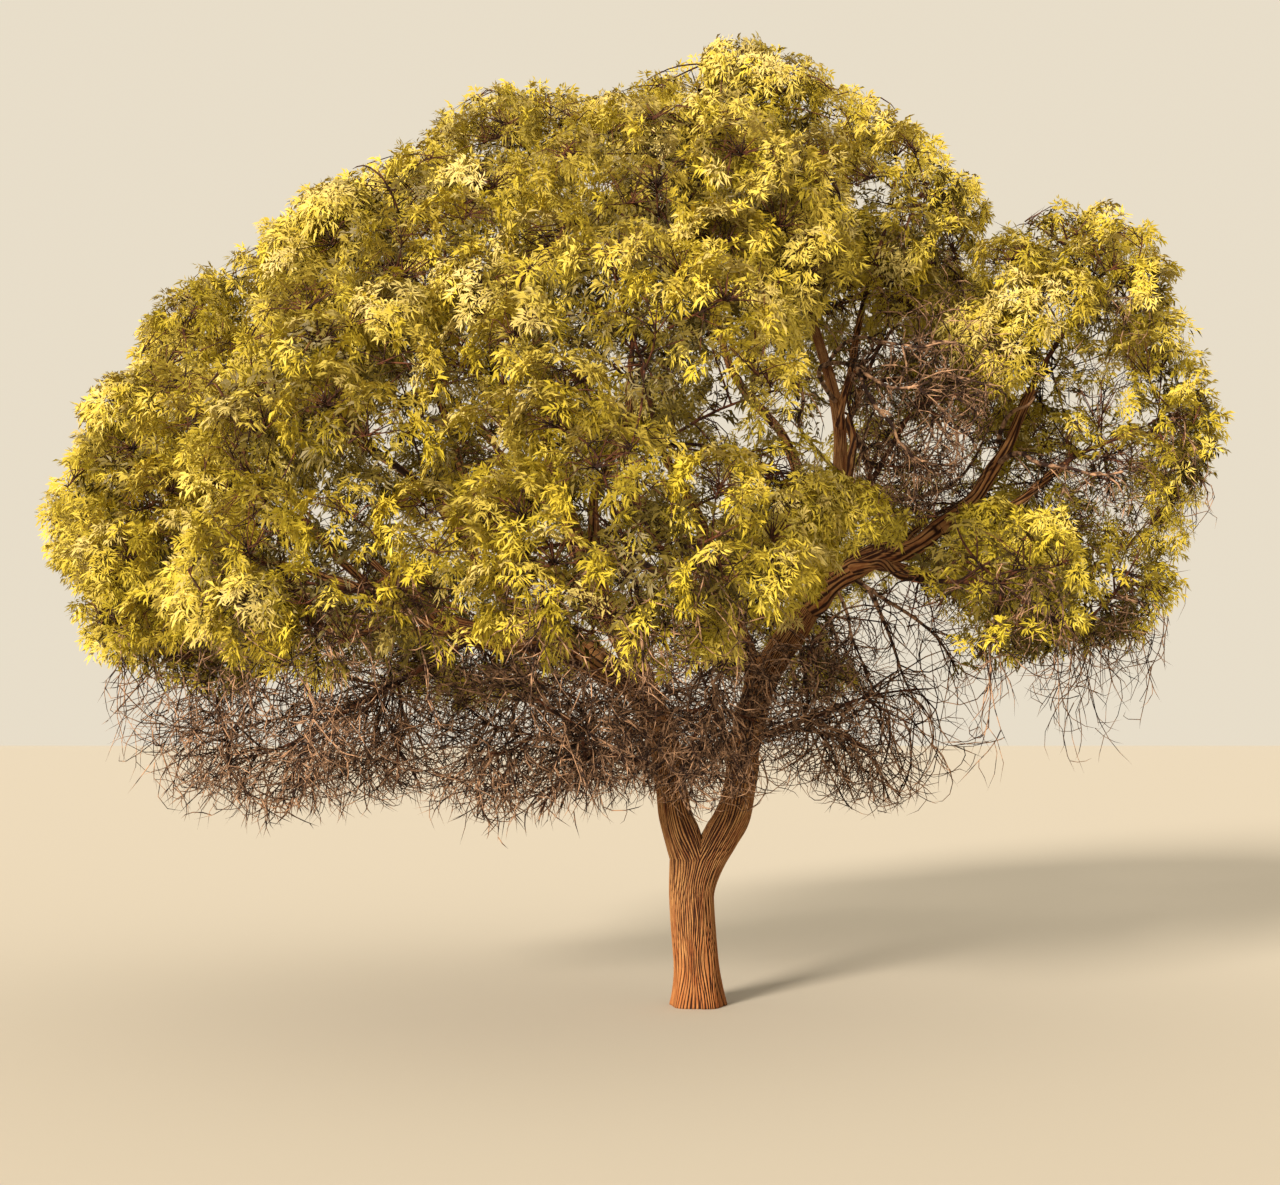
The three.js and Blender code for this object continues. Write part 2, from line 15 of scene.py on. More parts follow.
import bpy
import numpy as np
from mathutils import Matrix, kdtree

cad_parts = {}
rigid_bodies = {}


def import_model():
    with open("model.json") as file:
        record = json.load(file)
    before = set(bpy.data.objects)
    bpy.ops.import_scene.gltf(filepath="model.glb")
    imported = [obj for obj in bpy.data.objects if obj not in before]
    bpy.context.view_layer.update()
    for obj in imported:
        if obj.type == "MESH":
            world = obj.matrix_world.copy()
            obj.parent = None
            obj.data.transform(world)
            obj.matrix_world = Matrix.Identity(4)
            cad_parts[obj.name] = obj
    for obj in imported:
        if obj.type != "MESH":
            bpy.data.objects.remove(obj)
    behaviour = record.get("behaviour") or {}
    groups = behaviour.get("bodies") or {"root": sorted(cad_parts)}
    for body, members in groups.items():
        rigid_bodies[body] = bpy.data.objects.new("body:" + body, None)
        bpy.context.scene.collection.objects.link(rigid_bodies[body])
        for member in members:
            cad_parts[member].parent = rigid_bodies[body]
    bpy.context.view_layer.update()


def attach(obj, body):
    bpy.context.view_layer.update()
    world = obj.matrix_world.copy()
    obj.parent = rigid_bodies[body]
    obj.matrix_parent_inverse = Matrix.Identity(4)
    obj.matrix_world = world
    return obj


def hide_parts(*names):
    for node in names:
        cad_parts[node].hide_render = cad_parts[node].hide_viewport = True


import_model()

log = logging.getLogger("tree")

Point = tuple[float, float, float]
Way = Callable[[float], np.ndarray]

UP = np.array([0.0, 0.0, 1.0])
ASKEW = np.array([0.8, 0.6, 0.05])  # a direction that the axes of few clumps come near
EYE: Point = (-0.344, -10.5, 1.6)  # of whoever looks at the tree's front
GOLDEN_ANGLE = math.pi * (3 - math.sqrt(5))
MOST_TRIANGLES = 190_000  # in one piece

# Trunk, as in the part's source
TRUNK_TALL = 0.88
TRUNK_R = 0.131
FLARE = 0.034
FLARE_TALL = 0.3
ROOTS = 5
ROOT_RIPPLE = 0.07
ROOT_SHARE = 1 / 3
ROOT_TURN = 1
LEAN = -0.038
LEAN_SHARE = 1.2
FORK_WIDE = 1.36
FORK_DEEP = 0.94
FORK_FROM = 0.72
FORK_LATE = 1.5
FORK_X = 0.015
TRUNK_RINGS = 10

# Clearances, as in the part's source
CLEAR = 0.0004
LIMB_AIR = 0.012
SPACE_AIR = 0.006
PROBES = 8

# Limbs, as in the part's source
STEM_STEPS = 11
BOUGH_STEP = 0.36
BOUGH_STEPS_LEAST = 4
BOUGH_TIP_R = 0.02
BOUGH_TAPER = 1.15
CROOK = 0.035
CROOK_ASIDE = (7, 2.4)  # how often a bough wanders sideways, and how much later each next one does
CROOK_UP = (6, 1.7)
ALONG_PARENT = 0.55
ENTER_RISE = 0.25
HANDLE = 0.35
ENTRY_DEPTH = 0.7
ENTRY_EDGE = 0.07
ENTRY_LEAST = 0.1
ENTRY_STEP = 0.05
AHEAD = 0.01

# Masses, as in the part's source
HEART = np.array([-0.35, 0.0, 2.5])
FLATNESS = 1.2
FIRST_SEED = 101
SEED_STEP = 7
STEM_RADII = (BOUGH_TIP_R, 0.018, 0.014, 0.011)
BARE_STEM_RADII = (0.026, 0.017, 0.012)
STEM_FIRST = 0.08
STEM_PAST = 0.25
PAD_DEPTH = 0.86
PAD_UNEVEN = 0.05
PAD_EDGE = 0.09
PAD_AREA = 0.46
TURNED_IN = -0.25
BARE_AREA = 0.4
BARE_DEPTHS = (0.5, 0.95)
JOIN_BALANCE = 0.35
JOIN_TRIES = 3
TWIG_R = 0.009
TWIG_NARROWS = 0.8

# The masses of foliage: the middle of each, and half its width, depth and height
FOLIAGE: dict[str, tuple[Point, Point]] = {
    "crown_top": ((0.30, -0.10, 4.98), (1.00, 1.00, 0.82)),
    "crown_top_left": ((-0.98, -0.15, 4.79), (0.88, 0.95, 0.76)),
    "crown_top_back": ((-0.35, 1.35, 4.62), (1.05, 0.95, 0.78)),
    "shoulder_right": ((1.08, -0.25, 4.62), (0.65, 0.88, 0.68)),
    "shoulder_front": ((-0.12, -1.45, 4.23), (0.98, 0.88, 0.80)),
    "shoulder_front_left": ((-1.48, -1.25, 3.98), (0.98, 0.92, 0.80)),
    "shoulder_left": ((-1.88, 0.10, 4.34), (0.85, 1.00, 0.78)),
    "shoulder_far_left": ((-2.64, 0.05, 3.80), (0.83, 1.00, 0.76)),
    "shoulder_back_left": ((-1.65, 1.65, 3.98), (1.00, 0.95, 0.82)),
    "shoulder_back_right": ((1.25, 1.35, 4.33), (1.00, 0.95, 0.82)),
    "right_lobe": ((2.23, -0.25, 4.19), (0.62, 0.80, 0.64)),
    "right_tip": ((2.62, 0.00, 3.44), (0.59, 0.85, 0.64)),
    "right_low": ((2.30, 0.25, 2.64), (0.74, 0.85, 0.58)),
    "front_right_low": ((1.45, -1.05, 2.42), (0.74, 0.80, 0.52)),
    "back_right": ((1.90, 1.50, 3.25), (0.90, 0.95, 0.85)),
    "front": ((-0.35, -2.20, 3.33), (0.90, 0.80, 0.76)),
    "front_left": ((-1.72, -1.85, 3.12), (0.92, 0.86, 0.78)),
    "left": ((-2.72, -0.85, 3.02), (0.86, 0.90, 0.78)),
    "left_tip": ((-3.36, 0.15, 2.90), (0.64, 0.85, 0.64)),
    "back_left": ((-2.65, 1.35, 3.00), (0.95, 0.95, 0.82)),
    "back": ((-0.40, 2.25, 3.30), (1.08, 0.90, 0.88)),
    "low_front": ((-0.40, -2.45, 2.44), (0.93, 0.72, 0.58)),
    "low_front_left": ((-1.85, -1.95, 2.35), (0.90, 0.80, 0.52)),
    "low_left": ((-2.70, -0.75, 2.27), (0.80, 0.85, 0.46)),
    "low_back_left": ((-1.50, 2.15, 2.35), (1.00, 0.82, 0.58)),
    "low_back_right": ((0.85, 2.25, 2.48), (0.95, 0.85, 0.64)),
}

# The masses of dead, bare twigs: also the limb that each grows on and how far along that limb
BARE: dict[str, tuple[Point, Point, str, float]] = {
    "bare_left": ((-2.20, -0.45, 1.64), (0.98, 0.85, 0.56), "bough_left", 0.53),
    "bare_middle": ((-0.95, -0.75, 1.60), (0.64, 0.80, 0.54), "stem_left", 0.4),
    "bare_front": ((0.06, -0.75, 1.76), (0.52, 0.60, 0.52), "stem_right", 0.34),
    "bare_right": ((0.98, -0.15, 1.82), (0.64, 0.76, 0.56), "stem_right", 0.44),
    "bare_back": ((-0.45, 1.10, 1.72), (0.95, 0.64, 0.54), "stem_left", 0.45),
    "bare_open": ((1.23, -0.65, 3.48), (0.66, 0.68, 0.64), "stem_right", 0.72),
}

# The limbs that the view from the front shows: the mass that each feeds, and the points that it passes
# through with its half-width there
MAIN_LIMBS: dict[str, tuple[str, list[tuple[float, float, float, float]]]] = {
    "stem_right": (
        "crown_top",
        [
            (0.0, 0.0, 0.78, 0.122), (0.105, 0.0, 0.95, 0.114), (0.212, 0.0, 1.12, 0.103),
            (0.262, 0.0, 1.33, 0.096), (0.292, 0.0, 1.57, 0.094), (0.41, 0.01, 1.96, 0.086),
            (0.69, 0.0, 2.4, 0.078), (0.83, -0.01, 2.9, 0.046), (0.87, -0.02, 3.5, 0.038),
            (0.7, -0.06, 4.16, 0.026),
        ],
    ),
    "stem_left": (
        "crown_top_left",
        [
            (-0.05, 0.015, 0.78, 0.106), (-0.095, 0.02, 0.95, 0.098), (-0.132, 0.025, 1.12, 0.093),
            (-0.165, 0.04, 1.34, 0.09), (-0.215, 0.055, 1.62, 0.086), (-0.4, 0.055, 2.08, 0.076),
            (-0.7, 0.02, 2.7, 0.058), (-0.9, -0.04, 3.35, 0.04), (-0.98, -0.11, 4.06, 0.026),
        ],
    ),
    "bough_right": (
        "right_lobe",
        [
            (0.66, 0.0, 2.36, 0.07), (0.92, -0.01, 2.59, 0.064), (1.22, 0.0, 2.7, 0.056),
            (1.54, -0.01, 2.9, 0.047), (1.82, -0.04, 3.23, 0.038), (2.02, -0.13, 3.68, 0.026),
        ],
    ),
}

# The other boughs: the limb that each leaves and how far along it, the mass it feeds, its half-width where it
# leaves, and how far its middle rises above the straight way (or sags below it)
BOUGHS: dict[str, tuple[str, float, str, float, float]] = {
    "bough_left": ("stem_left", 0.56, "left", 0.058, -0.2),
    "bough_front_left": ("stem_left", 0.5, "front_left", 0.05, -0.06),
    "bough_front": ("stem_right", 0.5, "front", 0.05, 0.04),
    "bough_back": ("stem_right", 0.52, "back", 0.052, 0.04),
    "bough_back_left": ("stem_left", 0.58, "back_left", 0.05, -0.06),
    "bough_far_left": ("stem_left", 0.66, "shoulder_far_left", 0.046, 0.06),
    "bough_shoulder_front": ("stem_right", 0.7, "shoulder_front", 0.04, 0.06),
    "bough_shoulder_front_left": ("stem_left", 0.74, "shoulder_front_left", 0.038, 0.04),
    "bough_shoulder_back_left": ("stem_left", 0.77, "shoulder_back_left", 0.038, 0.04),
    "bough_crown_back": ("stem_left", 0.7, "crown_top_back", 0.038, 0.12),
    "bough_shoulder_back_right": ("stem_right", 0.76, "shoulder_back_right", 0.04, 0.06),
    "bough_shoulder_right": ("stem_right", 0.88, "shoulder_right", 0.03, 0.03),
    "bough_right_tip": ("bough_right", 0.55, "right_tip", 0.04, -0.04),
    "bough_right_low": ("bough_right", 0.3, "right_low", 0.036, -0.06),
    "bough_front_right_low": ("bough_right", 0.2, "front_right_low", 0.034, 0.06),
    "bough_back_right": ("bough_right", 0.14, "back_right", 0.044, 0.04),
    "bough_shoulder_left": ("bough_far_left", 0.4, "shoulder_left", 0.034, 0.06),
    "bough_left_tip": ("bough_left", 0.4, "left_tip", 0.036, 0.06),
    "bough_low_left": ("bough_left", 0.62, "low_left", 0.03, -0.06),
    "bough_low_front_left": ("bough_front_left", 0.45, "low_front_left", 0.032, -0.04),
    "bough_low_front": ("bough_front", 0.42, "low_front", 0.034, 0.06),
    "bough_low_back_left": ("bough_back_left", 0.4, "low_back_left", 0.034, 0.04),
    "bough_low_back_right": ("bough_back", 0.36, "low_back_right", 0.034, 0.06),
}

# The share of their shoots that the masses have where the view shows sky and bare twigs through them
FULLNESS: dict[str, float] = {
    "shoulder_right": 0.9,
    "right_lobe": 0.9,
    "right_tip": 0.85,
    "right_low": 0.5,
    "front_right_low": 0.3,
    "back_right": 0.8,
    "low_back_right": 0.8,
}


@dataclass(frozen=True)
class Opening:
    """A place in the view from the front where the crown is thin, with the shares of what grows there."""

    at: tuple[float, float]  # its middle, in the upright plane through the trunk
    half: tuple[float, float]  # half its size in that plane
    tufts: float
    live: float
    dead: float
    deep: float = 9.0  # how far back it goes


OPENINGS = (
    # Sky under the long bough, with a few hanging dead twigs
    Opening((1.22, 2.22), (0.42, 0.34), 0.02, 0.1, 0.3),
    # The tangle of dead limbs between the right stem and the lobe
    Opening((1.12, 3.50), (0.62, 0.52), 0.1, 0.4, 0.55, 0.5),
    # The cleft between the shoulder and the lobe
    Opening((1.60, 4.10), (0.20, 0.55), 0.3, 0.9, 1.0, 0.9),
    # The gap between the lobe and the tip beyond it
    Opening((2.33, 3.82), (0.40, 0.17), 0.3, 0.8, 1.0),
    # Thin growth above the long bough, and beyond its end
    Opening((1.55, 3.25), (0.34, 0.30), 0.3, 0.7, 0.8),
    Opening((2.38, 3.15), (0.46, 0.32), 0.3, 1.0, 1.0),
    # The right end of the skirt
    Opening((1.60, 1.75), (0.50, 0.45), 0.4, 0.5, 0.3),
)

# Dead limbs that the view from the front shows, with the half-width at the foot: the points from foot to tip,
# X and Z as seen in the upright plane through the trunk, and Y how far behind that plane they lie
DEAD_LIMBS: dict[str, tuple[float, list[Point]]] = {
    "arch": (
        0.016,
        [
            (0.86, -0.02, 3.62), (0.68, -0.50, 3.84), (0.92, -1.05, 3.89), (1.08, -1.30, 3.77),
            (1.24, -1.40, 3.69), (1.42, -1.42, 3.75),
        ],
    ),
    "high": (
        0.014,
        [
            (0.79, -0.03, 3.84), (0.86, -0.55, 3.97), (1.02, -1.00, 4.05), (1.17, -1.20, 3.99),
            (1.40, -1.25, 3.97),
        ],
    ),
    "fork": (
        0.013,
        [
            (0.98, -1.14, 3.85), (1.06, -1.38, 3.62), (1.20, -1.44, 3.50), (1.24, -1.46, 3.34),
            (1.38, -1.46, 3.26),
        ],
    ),
    "low": (
        0.015,
        [
            (0.86, -0.02, 3.20), (0.72, -0.60, 3.34), (0.60, -1.00, 3.50), (0.68, -1.25, 3.64),
            (0.62, -1.35, 3.80),
        ],
    ),
    "cross": (
        0.018,
        [
            (0.84, 0.00, 2.97), (1.01, 0.09, 3.03), (1.28, 0.12, 3.02), (1.56, 0.10, 3.10),
            (1.73, 0.08, 3.31), (1.79, 0.06, 3.50),
        ],
    ),
    "reach": (
        0.018,
        [
            (1.83, -0.04, 3.24), (1.95, -0.24, 3.35), (2.08, -0.40, 3.24), (2.27, -0.50, 3.23),
            (2.45, -0.55, 3.16), (2.60, -0.58, 3.20),
        ],
    ),
    "crook": (
        0.017,
        [
            (1.84, -0.07, 3.38), (1.87, -0.24, 3.50), (1.95, -0.36, 3.59), (2.04, -0.42, 3.60),
            (2.09, -0.44, 3.70),
        ],
    ),
    "droop": (
        0.017,
        [
            (0.92, 0.00, 2.57), (1.10, -0.06, 2.44), (1.32, -0.08, 2.31), (1.50, -0.10, 2.15),
            (1.58, -0.10, 1.96),
        ],
    ),
    "hang": (
        0.013,
        [
            (1.04, -0.04, 2.48), (1.13, -0.10, 2.30), (1.20, -0.12, 2.10), (1.25, -0.12, 1.92),
            (1.33, -0.10, 1.78),
        ],
    ),
    "drop": (
        0.011,
        [
            (0.84, 0.00, 2.50), (0.91, -0.06, 2.36), (0.93, -0.08, 2.20), (1.00, -0.10, 2.04),
        ],
    ),
}

# Clumps that the view from the front shows beside their mass's own, by X, Y and Z as for the dead limbs
SEEN_CLUMPS: dict[str, list[Point]] = {
    "front": [
        (0.50, -1.75, 3.16), (0.60, -1.70, 2.92), (0.76, -1.55, 3.00), (0.87, -1.45, 2.90),
        (0.66, -1.60, 2.68), (0.45, -1.80, 2.62),
    ],
    "right_lobe": [
        (1.72, -0.55, 4.06), (1.92, -0.60, 3.98), (2.08, -0.65, 4.20),
    ],
    "right_low": [
        (1.66, -0.35, 2.62), (1.88, -0.45, 2.52), (2.06, -0.50, 2.72), (1.80, -0.40, 2.82),
    ],
}


def seen_at(points: np.ndarray) -> np.ndarray:
    """Tells where points are seen from the front.

    Args:
        points: The points.

    Returns:
        X and Z of each, in the upright plane through the trunk.
    """
    eye = np.array(EYE)
    share = -eye[1] / (points[:, 1] - eye[1])
    return eye[[0, 2]] + (points[:, [0, 2]] - eye[[0, 2]]) * share[:, None]


def placed(seen: list[Point]) -> np.ndarray:
    """Turns points given as they are seen from the front into the places where they are.

    Args:
        seen: X and Z as seen in the upright plane through the trunk, and Y how far behind it they lie.

    Returns:
        An array of the points.
    """
    eye = np.array(EYE)
    rows = np.array(seen)
    share = 1 - rows[:, 1:2] / eye[1]
    level = eye[[0, 2]] + (rows[:, [0, 2]] - eye[[0, 2]]) * share
    return np.stack([level[:, 0], rows[:, 1], level[:, 1]], axis=1)


def unit(vectors: np.ndarray) -> np.ndarray:
    """Gives the vectors a length of one.

    Args:
        vectors: One vector, or an array whose last axis holds them.

    Returns:
        An array of the same shape.
    """
    return vectors / np.maximum(np.linalg.norm(vectors, axis=-1, keepdims=True), 1e-12)


def eased(share: np.ndarray) -> np.ndarray:
    """Eases shares in from 0 and out to 1."""
    return share * share * (3 - 2 * share)


def half_up(value: float) -> int:
    """Rounds to the nearest whole number, halves up, as the part's source does."""
    return math.floor(value + 0.5)


def linear(hex_colour: str) -> tuple[float, float, float, float]:
    """Turns an sRGB hex value to the linear colour that a shader reads.

    Args:
        hex_colour: Six hex digits after a hash sign.

    Returns:
        Red, green, blue and an alpha of one.
    """
    channels = []
    for start in (1, 3, 5):
        value = int(hex_colour[start : start + 2], 16) / 255
        channels.append(value / 12.92 if value <= 0.04045 else ((value + 0.055) / 1.055) ** 2.4)
    return (*channels, 1.0)


class Draws:
    """A stream of numbers from 0 to 1 that is the same for the same seed, as in the part's source."""

    def __init__(self, seed: int) -> None:
        """Starts the stream at the seed."""
        self.state = seed

    def __call__(self) -> float:
        """Returns the next number."""
        self.state = (self.state * 1664525 + 1013904223) % 4294967296
        return self.state / 4294967296


@dataclass
class Limb:
    """A trunk, stem or bough: its way from foot to tip, and its half-width at even shares of that way."""

    to: str  # the mass that it feeds
    way: Way
    radii: list[float]
    points: np.ndarray = field(init=False)

    def __post_init__(self) -> None:
        """Samples the way where the half-widths are given."""
        last = len(self.radii) - 1
        self.points = np.array([self.way(i / last) for i in range(last + 1)])

    def radius(self, share: np.ndarray) -> np.ndarray:
        """Returns the half-width at these shares of the way."""
        return np.interp(share, np.linspace(0, 1, len(self.radii)), self.radii)

    def fine(self, step: float) -> tuple[np.ndarray, np.ndarray, np.ndarray]:
        """Samples the limb at even distances.

        Args:
            step: The distance between two samples, in metres.

        Returns:
            The points, the half-widths there and the distances from the foot.
        """
        shares = np.linspace(0, 1, 240)
        dense = np.array([self.way(share) for share in shares])
        far = np.concatenate([[0], np.cumsum(np.linalg.norm(np.diff(dense, axis=0), axis=1))])
        count = max(4, round(far[-1] / step))
        distances = np.linspace(0, far[-1], count + 1)
        at = np.interp(distances, far, shares)
        points = np.stack([np.interp(distances, far, dense[:, axis]) for axis in range(3)], axis=1)
        return points, self.radius(at), distances


@dataclass
class Node:
    """An end of a twig, or a point of a stem, that other twigs may grow from."""

    point: np.ndarray
    way: float
    r: float = 0.0
    carried: int = 0
    parent: "Node | None" = None


@dataclass
class Mass:
    """A mass of foliage or of bare twigs, with the space that it keeps to."""

    name: str
    middle: np.ndarray
    half: np.ndarray
    leafy: bool
    seed: int
    on: str = ""
    along: float = 0.0
    normals: np.ndarray = field(init=False)
    offsets: np.ndarray = field(init=False)
    outward: np.ndarray = field(init=False)
    stem: np.ndarray = field(init=False)
    stem_radii: tuple[float, ...] = field(init=False)
    twigs: list[Node] = field(default_factory=list)

    def size(self) -> float:
        """Returns the mass's mean half-size, its height stretched as the spaces are."""
        return (self.half[0] + self.half[1] + self.half[2] * FLATNESS) / 3

    def wall_off(self, others: "list[Mass]") -> None:
        """Sets the walls between this mass and the others, each nearer to the smaller one.

        Args:
            others: Every other mass.
        """
        stretch = np.array([1, 1, FLATNESS])
        here = self.middle * stretch
        normals = []
        offsets = []
        for other in others:
            there = other.middle * stretch
            normal = (there - here) * stretch
            offset = (there @ there - here @ here + self.size() ** 2 - other.size() ** 2) / 2
            long = np.linalg.norm(normal)
            normals.append(normal / long)
            offsets.append(offset / long)
        self.normals = np.array(normals)
        self.offsets = np.array(offsets)
        self.outward = unit(self.middle - HEART)

    def inside(self, points: np.ndarray, margin: float, over: float = 1.0) -> np.ndarray:
        """Tells which points lie in the mass's space.

        Args:
            points: An array of points.
            margin: The least distance to the walls.
            over: How many half-sizes from the middle a point may lie.

        Returns:
            True or false for each point.
        """
        near = np.linalg.norm((points - self.middle) / self.half, axis=-1) <= over
        walls = (self.offsets - points @ self.normals.T > margin).all(axis=-1)
        return near & walls


def spline(points: np.ndarray) -> Way:
    """Makes the smooth way through the points.

    Args:
        points: The points, evenly spread over the way's shares.

    Returns:
        The way, a function of the share of it that lies behind.
    """
    last = len(points) - 1

    def way(share: float) -> np.ndarray:
        """Finds a point of the way.

        Args:
            share: The share of it that lies behind.

        Returns:
            The point.
        """
        place = min(max(share, 0.0), 1.0) * last
        i = min(int(place), last - 1)
        w = place - i
        before = points[i - 1] if i > 0 else 2 * points[0] - points[1]
        after = points[i + 2] if i + 2 <= last else 2 * points[last] - points[last - 1]
        start = points[i]
        end = points[i + 1]
        leave = (end - before) / 2
        arrive = (after - start) / 2
        square = 3 * (end - start) - 2 * leave - arrive
        cube = 2 * (start - end) + leave + arrive
        return start + leave * w + square * w**2 + cube * w**3

    return way


class Skeleton:
    """The limbs and coarse twigs, by the rule of the part's source."""

    def __init__(self) -> None:
        """Grows the limbs, then the spaces of the masses, their stems and their twigs."""
        self.masses = self.place_masses()
        self.limbs: dict[str, Limb] = {}
        self.grow_trunk()
        self.grow_main_limbs()
        self.grow_boughs()
        self.pieces: list[tuple[np.ndarray, np.ndarray, str]] = []
        for limb in self.limbs.values():
            self.pieces.append((limb.points, np.array(limb.radii), ""))
        for mass in self.masses.values():
            self.grow_stem(mass)
            self.pieces.append((mass.stem, np.array(mass.stem_radii), mass.name))
        self.starts = np.concatenate([points[:-1] for points, _, _ in self.pieces])
        self.ends = np.concatenate([points[1:] for points, _, _ in self.pieces])
        self.wide = np.concatenate([np.maximum(radii[:-1], radii[1:]) for _, radii, _ in self.pieces])
        self.owners = np.concatenate([[owner] * (len(points) - 1) for points, _, owner in self.pieces])
        for mass in self.masses.values():
            self.join_pads(mass, self.pads_of(mass, Draws(mass.seed)))

    @staticmethod
    def place_masses() -> dict[str, Mass]:
        """Places the masses and the walls between them.

        Returns:
            The masses, by name.
        """
        rows = [(name, at, half, "", 0.0) for name, (at, half) in FOLIAGE.items()]
        rows += [(name, *row) for name, row in BARE.items()]
        masses = {}
        for i, (name, at, half, on, along) in enumerate(rows):
            seed = FIRST_SEED + SEED_STEP * i
            masses[name] = Mass(name, np.array(at), np.array(half), name in FOLIAGE, seed, on, along)
        for mass in masses.values():
            mass.wall_off([other for other in masses.values() if other is not mass])
        return masses

    @staticmethod
    def trunk_at(z: float) -> tuple[float, float]:
        """Measures the trunk at a height, before the fork widens it.

        Args:
            z: The height.

        Returns:
            Its middle from left to right, and its half-width.
        """
        share = z / TRUNK_TALL
        flare = FLARE * max(0.0, 1 - z / FLARE_TALL) ** 2
        return LEAN * math.sin(math.pi / 2 * min(1.0, share * LEAN_SHARE)) ** 2, TRUNK_R + flare

    def grow_trunk(self) -> None:
        """Grows the trunk, up to where it divides."""
        radii = [self.trunk_at(i / TRUNK_RINGS * TRUNK_TALL)[1] for i in range(TRUNK_RINGS + 1)]

        def way(share: float) -> np.ndarray:
            """Returns the point at a share of the way."""
            z = share * TRUNK_TALL
            return np.array([self.trunk_at(z)[0], 0.0, z])

        self.limbs["trunk"] = Limb("", way, radii)

    def grow_main_limbs(self) -> None:
        """Grows the two stems and the bough on the right."""
        for name, (to, route) in MAIN_LIMBS.items():
            rows = np.array(route)
            last = len(rows) - 1
            steps = min(STEM_STEPS, 2 * last)
            radii = np.interp(np.linspace(0, last, steps + 1), np.arange(last + 1), rows[:, 3])
            self.limbs[name] = Limb(to, spline(rows[:, :3]), list(radii))

    def grow_boughs(self) -> None:
        """Grows each bough from its parent limb to the mass that it feeds."""
        for row, (name, (source, along, to, r, rise)) in enumerate(BOUGHS.items()):
            parent = self.limbs[source]
            mass = self.masses[to]
            start = parent.way(along)
            end = self.entry_point(mass, start)
            reach = float(np.linalg.norm(end - start))
            onward = unit(parent.way(along + AHEAD) - start)
            leave = unit(unit(end - start) + ALONG_PARENT * onward)
            enter = unit(unit(mass.middle - start) + ENTER_RISE * UP)
            corners = np.array(
                [
                    start,
                    start + leave * reach * HANDLE + UP * rise,
                    end - enter * reach * HANDLE + UP * rise,
                    end,
                ]
            )
            side = unit(np.cross(leave, UP))
            steps = max(BOUGH_STEPS_LEAST, half_up(reach / BOUGH_STEP))
            shares = np.linspace(0, 1, steps + 1)
            radii = BOUGH_TIP_R + (r - BOUGH_TIP_R) * (1 - shares) ** BOUGH_TAPER
            self.limbs[name] = Limb(to, self.bough_way(corners, side, reach, row), list(radii))

    @staticmethod
    def bough_way(corners: np.ndarray, side: np.ndarray, reach: float, row: int) -> Way:
        """Makes a bough's crooked way.

        Args:
            corners: The four corners of its smooth way.
            side: The level direction that it wanders in.
            reach: The straight distance from its foot to its tip.
            row: Its row in the table, which sets how it wanders.

        Returns:
            The way, a function of the share of it that lies behind.
        """

        def way(t: float) -> np.ndarray:
            """Finds a point of the way.

            Args:
                t: The share of it that lies behind.

            Returns:
                The point.
            """
            weights = np.array([(1 - t) ** 3, 3 * t * (1 - t) ** 2, 3 * t**2 * (1 - t), t**3])
            bend = CROOK * reach * math.sin(math.pi * t)
            point = weights @ corners + side * bend * math.sin(CROOK_ASIDE[0] * t + CROOK_ASIDE[1] * row)
            return point + UP * bend * math.sin(CROOK_UP[0] * t + CROOK_UP[1] * row)

        return way

    @staticmethod
    def entry_point(mass: Mass, start: np.ndarray) -> np.ndarray:
        """Finds where a mass's bough ends.

        Args:
            mass: The mass.
            start: The foot of the bough.

        Returns:
            The point, as far out in the mass's space as that allows.
        """
        back = unit((start - mass.middle) / mass.half) * mass.half
        share = ENTRY_DEPTH
        while share > ENTRY_LEAST:
            point = mass.middle + back * share
            if mass.inside(point, ENTRY_EDGE):
                return point
            share -= ENTRY_STEP
        return mass.middle.copy()

    def grow_stem(self, mass: Mass) -> None:
        """Grows a mass's stem, on from its bough's tip or out of the side of a limb.

        Args:
            mass: The mass.
        """
        if mass.leafy:
            bough = next(limb for limb in self.limbs.values() if limb.to == mass.name)
            tip = bough.points[-1]
            onward = unit(tip - bough.points[-2])
            foot = tip + onward * CLEAR
            first = foot + onward * STEM_FIRST
            far = mass.middle + mass.outward * mass.half * STEM_PAST
            mass.stem = np.array([foot, first, (first + far) / 2, far])
            mass.stem_radii = STEM_RADII
        else:
            foot = self.limbs[mass.on].way(mass.along)
            mass.stem = np.array([foot, (foot + mass.middle) / 2, mass.middle])
            mass.stem_radii = BARE_STEM_RADII

    def touches(self, start: np.ndarray, end: np.ndarray, wide: float, mass: Mass) -> bool:
        """Tells whether a straight twig comes too near a limb or another mass's stem.

        Args:
            start: Where the twig starts.
            end: Where it ends.
            wide: Its half-width.
            mass: The mass that it belongs to.

        Returns:
            True where it comes too near.
        """
        spots = start + np.linspace(0, 1, PROBES + 1)[:, None] * (end - start)
        other = self.owners != mass.name
        feet = self.starts[other]
        runs = self.ends[other] - feet
        shares = ((spots[:, None] - feet) * runs).sum(-1) / (runs * runs).sum(-1)
        near = feet + np.clip(shares, 0, 1)[..., None] * runs
        gaps = np.linalg.norm(spots[:, None] - near, axis=-1)
        return bool((gaps < self.wide[other] + wide + LIMB_AIR).any())

